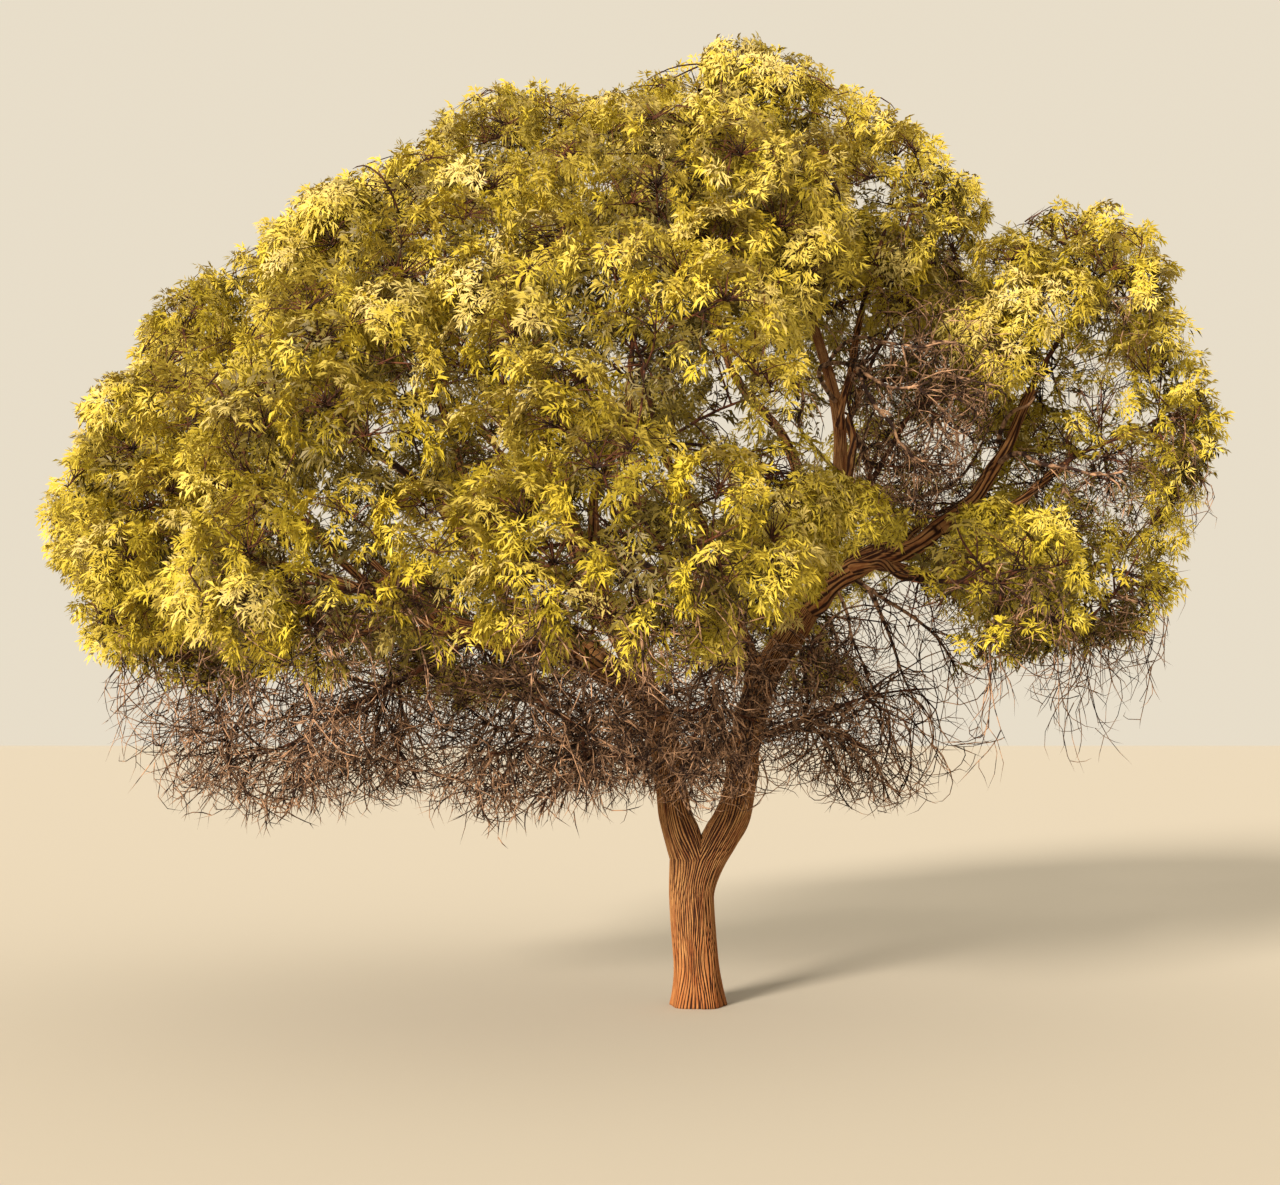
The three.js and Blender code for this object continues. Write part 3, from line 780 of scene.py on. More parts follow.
    @staticmethod
    def pads_of(mass: Mass, draw: Draws) -> list[np.ndarray]:
        """Deals out the middles of a mass's pads, or the ends of its bare twigs, by the golden angle.

        Args:
            mass: The mass.
            draw: Its stream of numbers.

        Returns:
            The points.
        """
        area = PAD_AREA if mass.leafy else BARE_AREA
        count = half_up(4 * math.pi * (mass.half.mean() * PAD_DEPTH) ** 2 / area)
        turn = draw() * math.pi * 2
        pads = []
        for k in range(count):
            up = 1 - (2 * (k + 0.5)) / count
            level = math.sqrt(1 - up * up)
            angle = turn + k * GOLDEN_ANGLE
            out = np.array([level * math.cos(angle), level * math.sin(angle), up])
            even = PAD_DEPTH * (1 - PAD_UNEVEN + 2 * PAD_UNEVEN * draw())
            uneven = BARE_DEPTHS[0] + (BARE_DEPTHS[1] - BARE_DEPTHS[0]) * draw()
            point = mass.middle + out * mass.half * (even if mass.leafy else uneven)
            kept = not mass.leafy or out @ mass.outward > TURNED_IN
            if kept and mass.inside(point, PAD_EDGE if mass.leafy else SPACE_AIR + TWIG_R):
                pads.append(point)
        return pads

    def join_pads(self, mass: Mass, pads: list[np.ndarray]) -> None:
        """Joins every pad, nearest to the stem's foot first, to what gives it the shortest way.

        Args:
            mass: The mass, which gets the twigs.
            pads: Its pads.
        """
        usable = []
        way = 0.0
        for i in range(1, len(mass.stem)):
            way += float(np.linalg.norm(mass.stem[i] - mass.stem[i - 1]))
            usable.append(Node(mass.stem[i], way, mass.stem_radii[i]))
        foot = mass.stem[0]
        for point in sorted(pads, key=lambda pad: np.linalg.norm(pad - foot)):

            def cost(node: Node) -> float:
                """Returns how long the way to the pad is by this node, its own way weighed less."""
                return float(np.linalg.norm(node.point - point)) + JOIN_BALANCE * node.way

            for parent in sorted(usable, key=cost)[:JOIN_TRIES]:
                if self.touches(parent.point, point, 2 * TWIG_R, mass):
                    continue
                reach = parent.way + float(np.linalg.norm(parent.point - point))
                up: Node | None = parent
                while up:
                    up.carried += 1
                    up = up.parent
                twig = Node(point, reach, parent=parent)
                usable.append(twig)
                mass.twigs.append(twig)
                break
        for twig in mass.twigs:
            twig.r = min(TWIG_R * math.sqrt(1 + twig.carried), twig.parent.r * TWIG_NARROWS)


class Surface:
    """Vertices and triangles that pile up into one piece, with values kept at the vertices."""

    def __init__(self, name: str) -> None:
        """Starts an empty surface.

        Args:
            name: The name of its piece.
        """
        self.name = name
        self.places: list[np.ndarray] = []
        self.faces: list[np.ndarray] = []
        self.values: dict[str, list[np.ndarray]] = {}
        self.count = 0
        self.triangles = 0

    def add(self, places: np.ndarray, faces: np.ndarray, **values: np.ndarray) -> None:
        """Adds a stretch of surface.

        Args:
            places: Its vertices.
            faces: Its triangles, by the numbers of those vertices.
            values: What each vertex keeps, by name.
        """
        self.places.append(places.reshape(-1, 3))
        self.faces.append(faces.reshape(-1, 3) + self.count)
        for name, value in values.items():
            self.values.setdefault(name, []).append(value)
        self.count += len(self.places[-1])
        self.triangles += len(self.faces[-1])

    def piece(self, material: bpy.types.Material, normals: np.ndarray | None = None) -> bpy.types.Object:
        """Makes the piece, which is shaded smooth.

        Args:
            material: What it is finished with.
            normals: The direction that each vertex is shaded by, where it isn't the mesh's own.

        Returns:
            The piece, with its place in its mesh.
        """
        places = np.concatenate(self.places)
        faces = np.concatenate(self.faces)
        mesh = bpy.data.meshes.new(self.name)
        mesh.vertices.add(len(places))
        mesh.vertices.foreach_set("co", places.astype(np.float32).ravel())
        mesh.loops.add(faces.size)
        mesh.loops.foreach_set("vertex_index", faces.astype(np.int32).ravel())
        mesh.polygons.add(len(faces))
        mesh.polygons.foreach_set("loop_start", np.arange(0, faces.size, 3, dtype=np.int32))
        for name, parts in self.values.items():
            value = np.concatenate(parts).astype(np.float32)
            kind = "FLOAT_VECTOR" if value.ndim == 2 else "FLOAT"
            stored = mesh.attributes.new(name, kind, "POINT")
            stored.data.foreach_set("vector" if value.ndim == 2 else "value", value.ravel())
        mesh.update(calc_edges=True)
        mesh.materials.append(material)
        piece = bpy.data.objects.new(self.name, mesh)
        bpy.context.scene.collection.objects.link(piece)
        mesh.polygons.foreach_set("use_smooth", np.full(len(faces), True))
        if normals is not None:
            mesh.normals_split_custom_set_from_vertices(normals.astype(np.float32))
        return piece


def ring_faces(rows: int, columns: int) -> np.ndarray:
    """Lists the triangles between the rings of a tube.

    Args:
        rows: The number of rings.
        columns: The number of vertices in a ring, numbered ring by ring.

    Returns:
        The triangles, facing out where the rings run left-handed round the way back.
    """
    row = np.arange(rows - 1)[:, None] * columns
    column = np.arange(columns)[None]
    onward = (column + 1) % columns
    a = row + column
    b = row + onward
    c = b + columns
    d = a + columns
    return np.concatenate([np.stack([a, b, c], -1).reshape(-1, 3), np.stack([a, c, d], -1).reshape(-1, 3)])


def fan(ring: np.ndarray, middle: int, over: bool = False) -> np.ndarray:
    """Lists the triangles that close a ring.

    Args:
        ring: The numbers of its vertices.
        middle: The number of the vertex in its middle.
        over: Whether they are turned over, as at a tube's foot.

    Returns:
        The triangles.
    """
    faces = np.stack([ring, np.roll(ring, -1), np.full(len(ring), middle)], axis=1)
    return faces[:, [1, 0, 2]] if over else faces


def tube_rows(
    middles: np.ndarray, wide: np.ndarray, angle: np.ndarray, frames: tuple[np.ndarray, np.ndarray]
) -> np.ndarray:
    """Places the rings of a tube.

    Args:
        middles: The middle of each ring.
        wide: How far from that each of its vertices lies.
        angle: Their angles round it.
        frames: The ring's side direction, and the one that stands square to it.

    Returns:
        The vertices, ring by ring.
    """
    sides, others = frames
    around = np.cos(angle)[:, None] * sides[:, None] + np.sin(angle)[:, None] * others[:, None]
    return middles[:, None] + wide[..., None] * around


def straightened(angle: np.ndarray, wide: np.ndarray, along: np.ndarray) -> np.ndarray:
    """Returns where places on a limb would lie if it were straight, which its finish is laid out by."""
    return np.stack([np.cos(angle) * wide, np.sin(angle) * wide, along], axis=1)


def carried_frames(points: np.ndarray, first: np.ndarray) -> tuple[np.ndarray, np.ndarray]:
    """Carries a side direction along a way without turning it.

    Args:
        points: The way's points.
        first: The side direction wanted at its foot.

    Returns:
        The side direction at each point, and the one that stands square to it.
    """
    along = unit(np.gradient(points, axis=0))
    sides = []
    side = first
    for heading in along:
        side = unit(side - heading * (side @ heading))
        sides.append(side)
    sides = np.array(sides)
    return sides, np.cross(along, sides)


@dataclass(frozen=True)
class Family:
    """A family of winding furrows."""

    number: float  # as a share of the first family's
    row: int  # where in the table its pattern is read
    edge: float  # where a furrow begins at its widest: 0 at the edge of the next one, 1 at its own middle
    deep: float  # as a share of the first family's depth


@dataclass
class Bark:
    """The bark of the trunk and limbs, a mesh with its furrows as real relief."""

    skeleton: Skeleton
    columns: int = 320  # round the trunk
    saddle: int = 70  # of each stem's columns, those that rise from the crotch
    cells: int = 512  # of the table that the furrows' pattern is drawn from
    families: tuple[Family, ...] = (Family(1.0, 0, 0.34, 1.0), Family(0.62, 211, 0.5, 0.75))
    furrows_round: int = 58  # of the first family, round the trunk
    furrow_long: float = 0.26  # over which a furrow changes its way
    furrow_sway: float = 2.9  # by so many furrows
    furrow_group: int = 6  # so many change their way together
    furrow_narrows: float = 0.38  # how much further in a furrow begins at its narrowest
    narrows_often: float = 2.2  # how much more often its width changes than its way
    narrows_row: int = 97  # where in the table that is read, counted from its family's row
    furrow_side: float = 0.3  # how wide its sloping side is
    furrow_deep: float = 0.009
    shallow: tuple[float, float] = (0.1, 0.1)  # below which half-width furrows get shallower, and how far
    proud: float = 0.35  # how far ridges stand proud, as a share of a furrow's depth
    fade: int = 16  # columns over which a stem's pattern closes on itself
    split_z: float = 0.86  # where the stems' columns part
    crotch: tuple[float, float] = (0.022, 1.0)  # its place from left to right, and its height
    merge_long: float = 0.32  # over which a stem turns from half the trunk to round
    trunk_step: float = 0.014
    stem_sample: float = 0.004  # between the points that a stem's rows are chosen from
    stem_step: float = 0.011  # between its first rows
    stem_step_grows: float = 0.012  # for each metre of the way behind
    stem_end: float = 0.02  # how near to the tip its rows end
    stem_tip: float = 0.01  # how far its tip stands out
    stem_lumps: float = 0.05  # how much its width wanders
    stem_lump_rates: tuple[float, float] = (9, 13)  # in radians per metre, as the other rates are
    right_from: float = 0.62  # how far along its stem the long bough leaves it
    bough_step: float = 0.03
    bough_columns: tuple[int, int] = (14, 44)
    bough_face: float = 0.009  # the width of a face at a bough's foot
    bough_side: Point = (0.31, 0.95, 0.1)  # the direction in which its first column stands
    collar: float = 0.45  # how much it swells near its foot
    collar_long: float = 0.9  # over so many of its parent's half-widths
    knots: float = 0.09  # how much it thickens and narrows on its way
    knot_rates: tuple[float, float] = (17, 7.3)
    bough_lumps: float = 0.07  # how far it is from round
    bough_lump_rate: float = 12
    winding: float = 0.28  # how far it winds from its way, in half-widths
    winding_rates: tuple[float, float] = (11, 14)
    winding_shift: float = 2.2  # how much later each next bough winds
    bough_tip: float = 0.6  # how far its tip stands out, in half-widths
    bough_shift: float = 3.1  # how much further on each next bough's pattern begins
    bough_furrows: int = 7  # at least
    furrow_columns: float = 5.5  # for each furrow
    bough_deep: float = 0.55  # the depth of a bough's furrows, as a share of the trunk's
    bough_shallow: tuple[float, float] = (0.06, 0.15)

    def __post_init__(self) -> None:
        """Draws the table of the furrows' pattern."""
        self.table = np.random.default_rng(FIRST_SEED).random((self.cells, self.cells))

    def cloud(self, u: np.ndarray, v: np.ndarray, round_cells: int, row: int) -> np.ndarray:
        """Reads smooth noise that closes round a limb.

        Args:
            u: The place round the limb, in cells.
            v: The place along it, in cells.
            round_cells: The number of cells round the limb.
            row: Where in the table to read.

        Returns:
            Values from 0 to 1.
        """
        left = np.floor(u).astype(int)
        low = np.floor(v).astype(int)
        a = eased(u - left)
        b = eased(v - low)

        def at(i: np.ndarray, j: np.ndarray) -> np.ndarray:
            """Returns the table's values at these cells."""
            return self.table[(j + row) % self.cells, i % round_cells]

        near = at(left, low) * (1 - a) + at(left + 1, low) * a
        far = at(left, low + 1) * (1 - a) + at(left + 1, low + 1) * a
        return near * (1 - b) + far * b

    def furrows(self, turns: np.ndarray, along: np.ndarray, count: int) -> np.ndarray:
        """Draws two families of winding furrows that cross, narrow and end.

        Args:
            turns: The angle round the limb.
            along: The distance from the limb's foot.
            count: The number of furrows of the first family round the limb.

        Returns:
            From 0 on a ridge to 1 in a furrow.
        """
        share = turns / (2 * math.pi)
        height = along / self.furrow_long
        found = np.zeros(len(turns))
        for family in self.families:
            number = half_up(family.number * count)
            cells = max(3, number // self.furrow_group)
            sway = self.furrow_sway * (self.cloud(share * cells, height, cells, family.row) - 0.5)
            within = 1 - np.abs(2 * ((share * number + sway) % 1) - 1)
            row = family.row + self.narrows_row
            narrow = self.cloud(share * number, self.narrows_often * height, number, row)
            edge = family.edge + self.furrow_narrows * narrow
            found = np.maximum(found, family.deep * np.clip((within - edge) / self.furrow_side, 0, 1))
        return found

    def trunk_ring(self, z: float) -> np.ndarray:
        """Draws the trunk's outline at a height.

        Args:
            z: The height.

        Returns:
            Its vertices, from the right side round by the back.
        """
        x, r = Skeleton.trunk_at(z)
        share = z / TRUNK_TALL
        angle = np.arange(self.columns) * 2 * math.pi / self.columns
        roots = 1 + ROOT_RIPPLE * np.cos(ROOTS * angle - ROOT_TURN) * max(0.0, 1 - share / ROOT_SHARE)
        fork = max(0.0, (share - FORK_FROM) / (1 - FORK_FROM)) ** FORK_LATE
        wide = r * roots * (1 + (FORK_WIDE - 1) * fork)
        deep = r * roots * (1 + (FORK_DEEP - 1) * fork)
        middle = x + (FORK_X - x) * fork
        level = np.full(self.columns, z)
        return np.stack([middle + np.cos(angle) * wide, np.sin(angle) * deep, level], axis=1)

    def stem_rows(
        self, name: str, out: float, ring: np.ndarray
    ) -> tuple[np.ndarray, np.ndarray, np.ndarray]:
        """Grows a stem's rows of vertices from its half of the trunk's last ring and the crotch.

        Args:
            name: The stem.
            out: The direction in X in which it leaves the trunk, 1 or -1.
            ring: Its first ring.

        Returns:
            The rows after the first, each one's distance from the first, and its half-width.
        """
        points, radii, far = self.skeleton.limbs[name].fine(self.stem_sample)
        start = int(np.searchsorted(points[:, 2], self.split_z))
        points = points[start:]
        radii = radii[start:]
        far = far[start:] - far[start]
        chosen = [0]
        while far[chosen[-1]] < far[-1] - self.stem_end:
            wanted = far[chosen[-1]] + self.stem_step + self.stem_step_grows * far[chosen[-1]]
            chosen.append(min(int(np.searchsorted(far, wanted)), len(far) - 1))
        points = points[chosen]
        radii = radii[chosen]
        far = far[chosen]
        frames = carried_frames(points, np.array([out, 0.0, 0.0]))
        half = self.columns // 2
        third = 2 / 3 * math.pi  # of the way round: the outer columns take two and the saddle's take one
        outer = np.linspace(-third, third, half + 1)
        inner = np.linspace(third, 2 * third, self.saddle + 1)[1:-1]
        angle = np.concatenate([outer, inner])
        round_rate, long_rate = self.stem_lump_rates
        lump = self.stem_lumps * np.sin(2 * angle[None] + round_rate * far[:, None] + out)
        lump = 1 + lump * np.sin(long_rate * far[:, None] + 2 * out)
        wide = radii[:, None] * lump
        round_rows = tube_rows(points, wide, angle, frames)
        carried = ring[None] + (points - points[0])[:, None]
        blend = eased(np.clip(far / self.merge_long, 0, 1))[:, None, None]
        rows = carried * (1 - blend) + round_rows * blend
        return rows[1:], far[1:], radii[1:]

    def trunk_and_stems(self, material: bpy.types.Material) -> bpy.types.Object:
        """Makes the trunk and its two stems as one skin, whose furrows run on from one into the others.

        Args:
            material: The bark.

        Returns:
            The piece.
        """
        surface = Surface("bark_of_trunk_and_stems")
        columns = self.columns
        half = columns // 2
        heights = np.linspace(0, self.split_z, round(self.split_z / self.trunk_step) + 1)
        trunk = np.array([self.trunk_ring(z) for z in heights])
        turns = np.arange(columns) * 2 * math.pi / columns
        rows = len(heights)
        last = trunk[-1]
        front = last[3 * columns // 4]
        back = last[columns // 4]
        arch = np.linspace(0, math.pi, self.saddle + 1)[1:-1]
        middle = (front + back) / 2
        saddle = middle + np.cos(arch)[:, None] * (back - front) / 2
        saddle[:, 0] += np.sin(arch) * (self.crotch[0] - middle[0])
        saddle[:, 2] += np.sin(arch) * (self.crotch[1] - middle[2])
        places = [trunk.reshape(-1, 3), saddle]
        angles = [np.tile(turns, rows), math.pi / 2 + np.arange(1, self.saddle) * 2 * math.pi / columns]
        closing = [angles[0], angles[1]]
        fades = [np.zeros(rows * columns + self.saddle - 1)]
        looks = [angles[0], math.pi / 2 + np.arange(1, self.saddle) * math.pi / self.saddle]
        alongs = [np.repeat(heights, columns), np.full(self.saddle - 1, self.split_z)]
        widths = [np.full(rows * columns + self.saddle - 1, TRUNK_R)]
        faces = [ring_faces(rows, columns)]
        count = rows * columns + self.saddle - 1
        top_row = (rows - 1) * columns
        saddle_row = rows * columns + np.arange(self.saddle - 1)
        for name, out, first in (("stem_right", 1.0, 3 * columns // 4), ("stem_left", -1.0, columns // 4)):
            outer = top_row + (first + np.arange(half + 1)) % columns
            inner = saddle_row if out > 0 else saddle_row[::-1]
            ring_ids = np.concatenate([outer, inner])
            everything = np.concatenate(places)
            stem, far, radii = self.stem_rows(name, out, everything[ring_ids])
            size = len(ring_ids)
            ids = np.concatenate([ring_ids, count + np.arange(len(stem) * size)])
            faces.append(ids[ring_faces(len(stem) + 1, size)])
            begin = first * 2 * math.pi / columns
            angle = begin + np.arange(size) * 2 * math.pi / columns
            inner_look = begin + math.pi + np.arange(1, self.saddle) * math.pi / self.saddle
            places.append(stem.reshape(-1, 3))
            angles.append(np.tile(angle, len(stem)))
            closing.append(np.tile(angle - size * 2 * math.pi / columns, len(stem)))
            fades.append(np.tile(np.clip((np.arange(size) - size + self.fade) / self.fade, 0, 1), len(stem)))
            looks.append(np.tile(np.concatenate([angle[: half + 1], inner_look]), len(stem)))
            alongs.append(np.repeat(self.split_z + far, size))
            widths.append(np.repeat(radii, size))
            count += len(stem) * size
            tip = ids[-size:]
            places.append(stem[-1].mean(axis=0)[None] + UP * self.stem_tip)
            for turn_list in (angles, closing, fades, looks):
                turn_list.append(np.zeros(1))
            alongs.append(np.array([self.split_z + far[-1]]))
            widths.append(radii[-1:])
            faces.append(fan(tip, count))
            count += 1
        places.append(trunk[0].mean(axis=0)[None])
        for turn_list in (angles, closing, fades, looks):
            turn_list.append(np.zeros(1))
        alongs.append(np.zeros(1))
        widths.append(np.full(1, TRUNK_R))
        faces.append(fan(np.arange(columns), count, over=True))
        along = np.concatenate(alongs)
        width = np.concatenate(widths)
        fade = np.concatenate(fades)
        groove = (1 - fade) * self.furrows(np.concatenate(angles), along, self.furrows_round)
        groove += fade * self.furrows(np.concatenate(closing), along, self.furrows_round)
        straight = straightened(np.concatenate(looks), width, along)
        surface.add(np.concatenate(places), np.concatenate(faces), groove=groove, straight=straight)
        piece = surface.piece(material)
        full, least = self.shallow
        self.carve(piece, groove, self.furrow_deep * np.clip(width / full, least, 1), along <= 0)
        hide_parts("trunk", "stem_right", "stem_left")
        return piece

    def carve(
        self, piece: bpy.types.Object, groove: np.ndarray, deep: np.ndarray, level: np.ndarray
    ) -> None:
        """Sinks the furrows into the piece along its normals, and lets its ridges stand a little proud.

        Args:
            piece: The piece.
            groove: How far each vertex lies in a furrow.
            deep: How deep a furrow is there.
            level: Which vertices stay level with the ground.
        """
        mesh = piece.data
        places = np.empty(len(mesh.vertices) * 3, np.float32)
        mesh.vertices.foreach_get("co", places)
        normals = np.empty(len(mesh.vertices) * 3, np.float32)
        mesh.vertex_normals.foreach_get("vector", normals)
        places = places.reshape(-1, 3)
        normals = normals.reshape(-1, 3)
        moved = places + normals * ((self.proud - groove) * deep)[:, None]
        moved[level, 2] = 0
        mesh.vertices.foreach_set("co", moved.astype(np.float32).ravel())
        mesh.update()

    def boughs(self, material: bpy.types.Material) -> bpy.types.Object:
        """Makes every bough as a lumpy tapering tube that swells to a collar where it leaves its parent.

        Args:
            material: The bark.

        Returns:
            The piece.
        """
        surface = Surface("bark_of_boughs")
        depths = []
        names = [name for name in self.skeleton.limbs if name.startswith("bough_")]
        for row, name in enumerate(names):
            points, radii, far = self.skeleton.limbs[name].fine(self.bough_step)
            parent = "stem_right" if name == "bough_right" else BOUGHS[name][0]
            where = self.right_from if name == "bough_right" else BOUGHS[name][1]
            parent_r = float(self.skeleton.limbs[parent].radius(where))
            fewest, most = self.bough_columns
            columns = max(fewest, min(most, half_up(2 * math.pi * radii[0] / self.bough_face)))
            angle = np.arange(columns) * 2 * math.pi / columns
            sides, others = carried_frames(points, np.array(self.bough_side))
            collar = 1 + self.collar * np.exp(-(((far - parent_r) / (self.collar_long * parent_r)) ** 2))
            first, second = self.knot_rates
            knots = 1 + self.knots * np.sin(first * far + row) * np.sin(second * far + 2 * row)
            lump = 1 + self.bough_lumps * np.sin(2 * angle[None] + self.bough_lump_rate * far[:, None] + row)
            wide = (radii * collar * knots)[:, None] * lump
            first, second = self.winding_rates
            aside = np.sin(first * far + row)[:, None] * sides
            aside = aside + np.sin(second * far + self.winding_shift * row)[:, None] * others
            aside *= (self.winding * radii * np.sin(math.pi * np.clip(far / far[-1], 0, 1)))[:, None]
            middle = points + aside
            rows = tube_rows(middle, wide, angle, (sides, others))
            count = len(points)
            faces = ring_faces(count, columns)
            base = count * columns
            ring = np.arange(columns)
            foot = fan(ring, base, over=True)
            tip = fan(ring + (count - 1) * columns, base + 1)
            onward = unit(middle[-1] - middle[-2])
            ends = np.stack([middle[0], middle[-1] + self.bough_tip * radii[-1] * onward])
            turn = np.concatenate([np.tile(angle, count), [0.0, 0.0]])
            along = np.concatenate([np.repeat(far, columns), far[[0, -1]]])
            width = np.concatenate([np.repeat(radii, columns), radii[[0, -1]]])
            along = along + self.bough_shift * row
            furrows = max(self.bough_furrows, half_up(columns / self.furrow_columns))
            groove = self.furrows(turn, along, furrows)
            straight = straightened(turn, width, along)
            surface.add(
                np.concatenate([rows.reshape(-1, 3), ends]),
                np.concatenate([faces, foot, tip]),
                groove=groove,
                straight=straight,
            )
            full, least = self.bough_shallow
            depths.append(self.furrow_deep * self.bough_deep * np.clip(width / full, least, 1))
        piece = surface.piece(material)
        groove = np.concatenate(surface.values["groove"])
        self.carve(piece, groove, np.concatenate(depths), np.zeros(len(groove), bool))
        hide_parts(*names)
        return piece


@dataclass
class Bundle:
    """Twigs that pile up, each a row of points with its half-width at the foot and at the tip."""

    surface: Surface
    sides: int = 3
    steep: float = 0.8  # the rise from which a twig's sides are laid out by X in place of Z

    def add(
        self, points: np.ndarray, thick: np.ndarray | float, thin: np.ndarray | float, counts: np.ndarray
    ) -> None:
        """Adds twigs that grew together.

        Args:
            points: The points of each twig, foot first.
            thick: Each twig's half-width at its foot, or one for all.
            thin: The same near its tip, had it grown to the end.
            counts: How many steps of each twig are kept. One of no step is dropped.
        """
        steps = points.shape[1] - 1
        shares = np.linspace(0, 1, steps + 1)
        foot = np.broadcast_to(thick, len(points))[:, None]
        tip = np.broadcast_to(thin, len(points))[:, None]
        radii = foot + (tip - foot) * shares
        for count in range(1, steps + 1):
            chosen = counts == count
            if chosen.any():
                self.build(points[chosen, : count + 1], radii[chosen, :count])

    def build(self, points: np.ndarray, radii: np.ndarray) -> None:
        """Builds closed tubes that end in a point.

        Args:
            points: The points of each twig, all of the same number.
            radii: The half-width at each point but the last.
        """
        twigs, rings = radii.shape
        along = unit(np.gradient(points, axis=1))[:, :rings]
        lean = np.where(np.abs(along[:, :1, 2:]) < self.steep, UP, np.array([1.0, 0.0, 0.0]))
        side = unit(np.cross(np.broadcast_to(lean, along.shape), along))
        other = np.cross(along, side)
        angle = np.arange(self.sides) * 2 * math.pi / self.sides
        spread = np.cos(angle)[:, None] * side[:, :, None] + np.sin(angle)[:, None] * other[:, :, None]
        ring = points[:, :rings, None] + radii[:, :, None, None] * spread
        places = np.concatenate([ring.reshape(twigs, -1, 3), points[:, -1:]], axis=1)
        around = np.arange(self.sides)
        tip = fan((rings - 1) * self.sides + around, rings * self.sides)
        foot = np.stack([np.zeros(self.sides - 2, int), around[2:], around[1:-1]], axis=1)
        faces = np.concatenate([ring_faces(rings, self.sides), tip, foot])
        size = rings * self.sides + 1
        numbered = faces[None] + (np.arange(twigs) * size)[:, None, None]
        self.surface.add(places, numbered)


@dataclass
class Sprays:
    """Tufts of leaves that grew together: where each lies, which way it faces, and its share of the light."""

    tips: list[np.ndarray] = field(default_factory=list)
    headings: list[np.ndarray] = field(default_factory=list)
    shades: list[np.ndarray] = field(default_factory=list)

    def add(self, tips: np.ndarray, headings: np.ndarray, shades: np.ndarray) -> None:
        """Adds tufts.

        Args:
            tips: Where they grow.
            headings: The direction in which they face.
            shades: From 0 for a spray in full sun to 1 for one in the shade.
        """
        self.tips.append(tips)
        self.headings.append(unit(headings))
        self.shades.append(shades)


@dataclass
class DeadLimbs:
    """The crooked dead limbs in the crown's opening and under the long bough."""

    tip_share: float = 0.35  # of the half-width at the foot
    order: int = 3  # how many of a limb's points shape each stretch of its curve
    smooth: int = 5  # how finely the curve is divided along the limb
    smooth_round: int = 1  # and round it
    along: list[np.ndarray] = field(default_factory=list)

    def build(self, material: bpy.types.Material) -> bpy.types.Object:
        """Draws each limb as a curve that tapers, and joins them into one mesh.

        Args:
            material: Their finish.

        Returns:
            The piece.
        """
        drawn = []
        for name, (r, route) in DEAD_LIMBS.items():
            bpy.ops.object.select_all(action="DESELECT")
            bpy.ops.curve.primitive_nurbs_path_add(location=(0, 0, 0))
            limb = bpy.context.object
            limb.name = f"dead_limb_{name}"
            curve = limb.data
            path = curve.splines[0]
            path.points.add(max(0, len(route) - len(path.points)))
            while len(route) < len(path.points):
                route = [*route, route[-1]]
            places = placed(route)
            for i, (point, place) in enumerate(zip(path.points, places)):
                point.co = (*place, 1.0)
                point.radius = 1 - (1 - self.tip_share) * i / (len(route) - 1)
            path.order_u = self.order
            path.use_endpoint_u = True
            curve.resolution_u = self.smooth
            curve.bevel_depth = r
            curve.bevel_resolution = self.smooth_round
            curve.use_fill_caps = True
            self.along.append(places)
            drawn.append(limb)
        bpy.ops.object.select_all(action="DESELECT")
        for limb in drawn:
            limb.select_set(True)
        bpy.context.view_layer.objects.active = drawn[0]
        bpy.ops.object.convert(target="MESH")
        bpy.ops.object.join()
        piece = bpy.context.object
        piece.name = "dead_limbs"
        bpy.ops.object.mode_set(mode="EDIT")
        bpy.ops.mesh.select_all(action="SELECT")
        bpy.ops.mesh.quads_convert_to_tris()
        bpy.ops.object.mode_set(mode="OBJECT")
        bpy.ops.object.shade_smooth()
        piece.data.materials.clear()
        piece.data.materials.append(material)
        return piece


class Growing(Enum):
    """What grows in an opening, by the name of its share there."""

    TUFTS = "tufts"
    LIVE = "live"
    DEAD = "dead"


@dataclass(frozen=True)
class Habit:
    """How a kind of curling twig grows."""

    on: tuple[float, float]  # between which shares of its parent
    turn: tuple[float, float]  # how far it turns aside from its parent
    long: tuple[float, float]
    steps: int
    droop: float  # how much it comes to hang
    curl: float  # how much it bends to a side of its own
    r: tuple[float, float]  # its half-width at foot and tip, or with a taper the least and most at the foot
    taper: float = 0.0  # the half-width at its tip, as a share of that at its foot

    def radii(
        self, rng: np.random.Generator, count: int
    ) -> tuple[float, float] | tuple[np.ndarray, np.ndarray]:
        """Chooses the half-widths of twigs.

        Args:
            rng: The mass's own stream of numbers.
            count: The number of twigs.

        Returns:
            Their half-widths at the foot and at the tip.
        """
        if not self.taper:
            return self.r
        thick = rng.uniform(*self.r, count)
        return thick, thick * self.taper


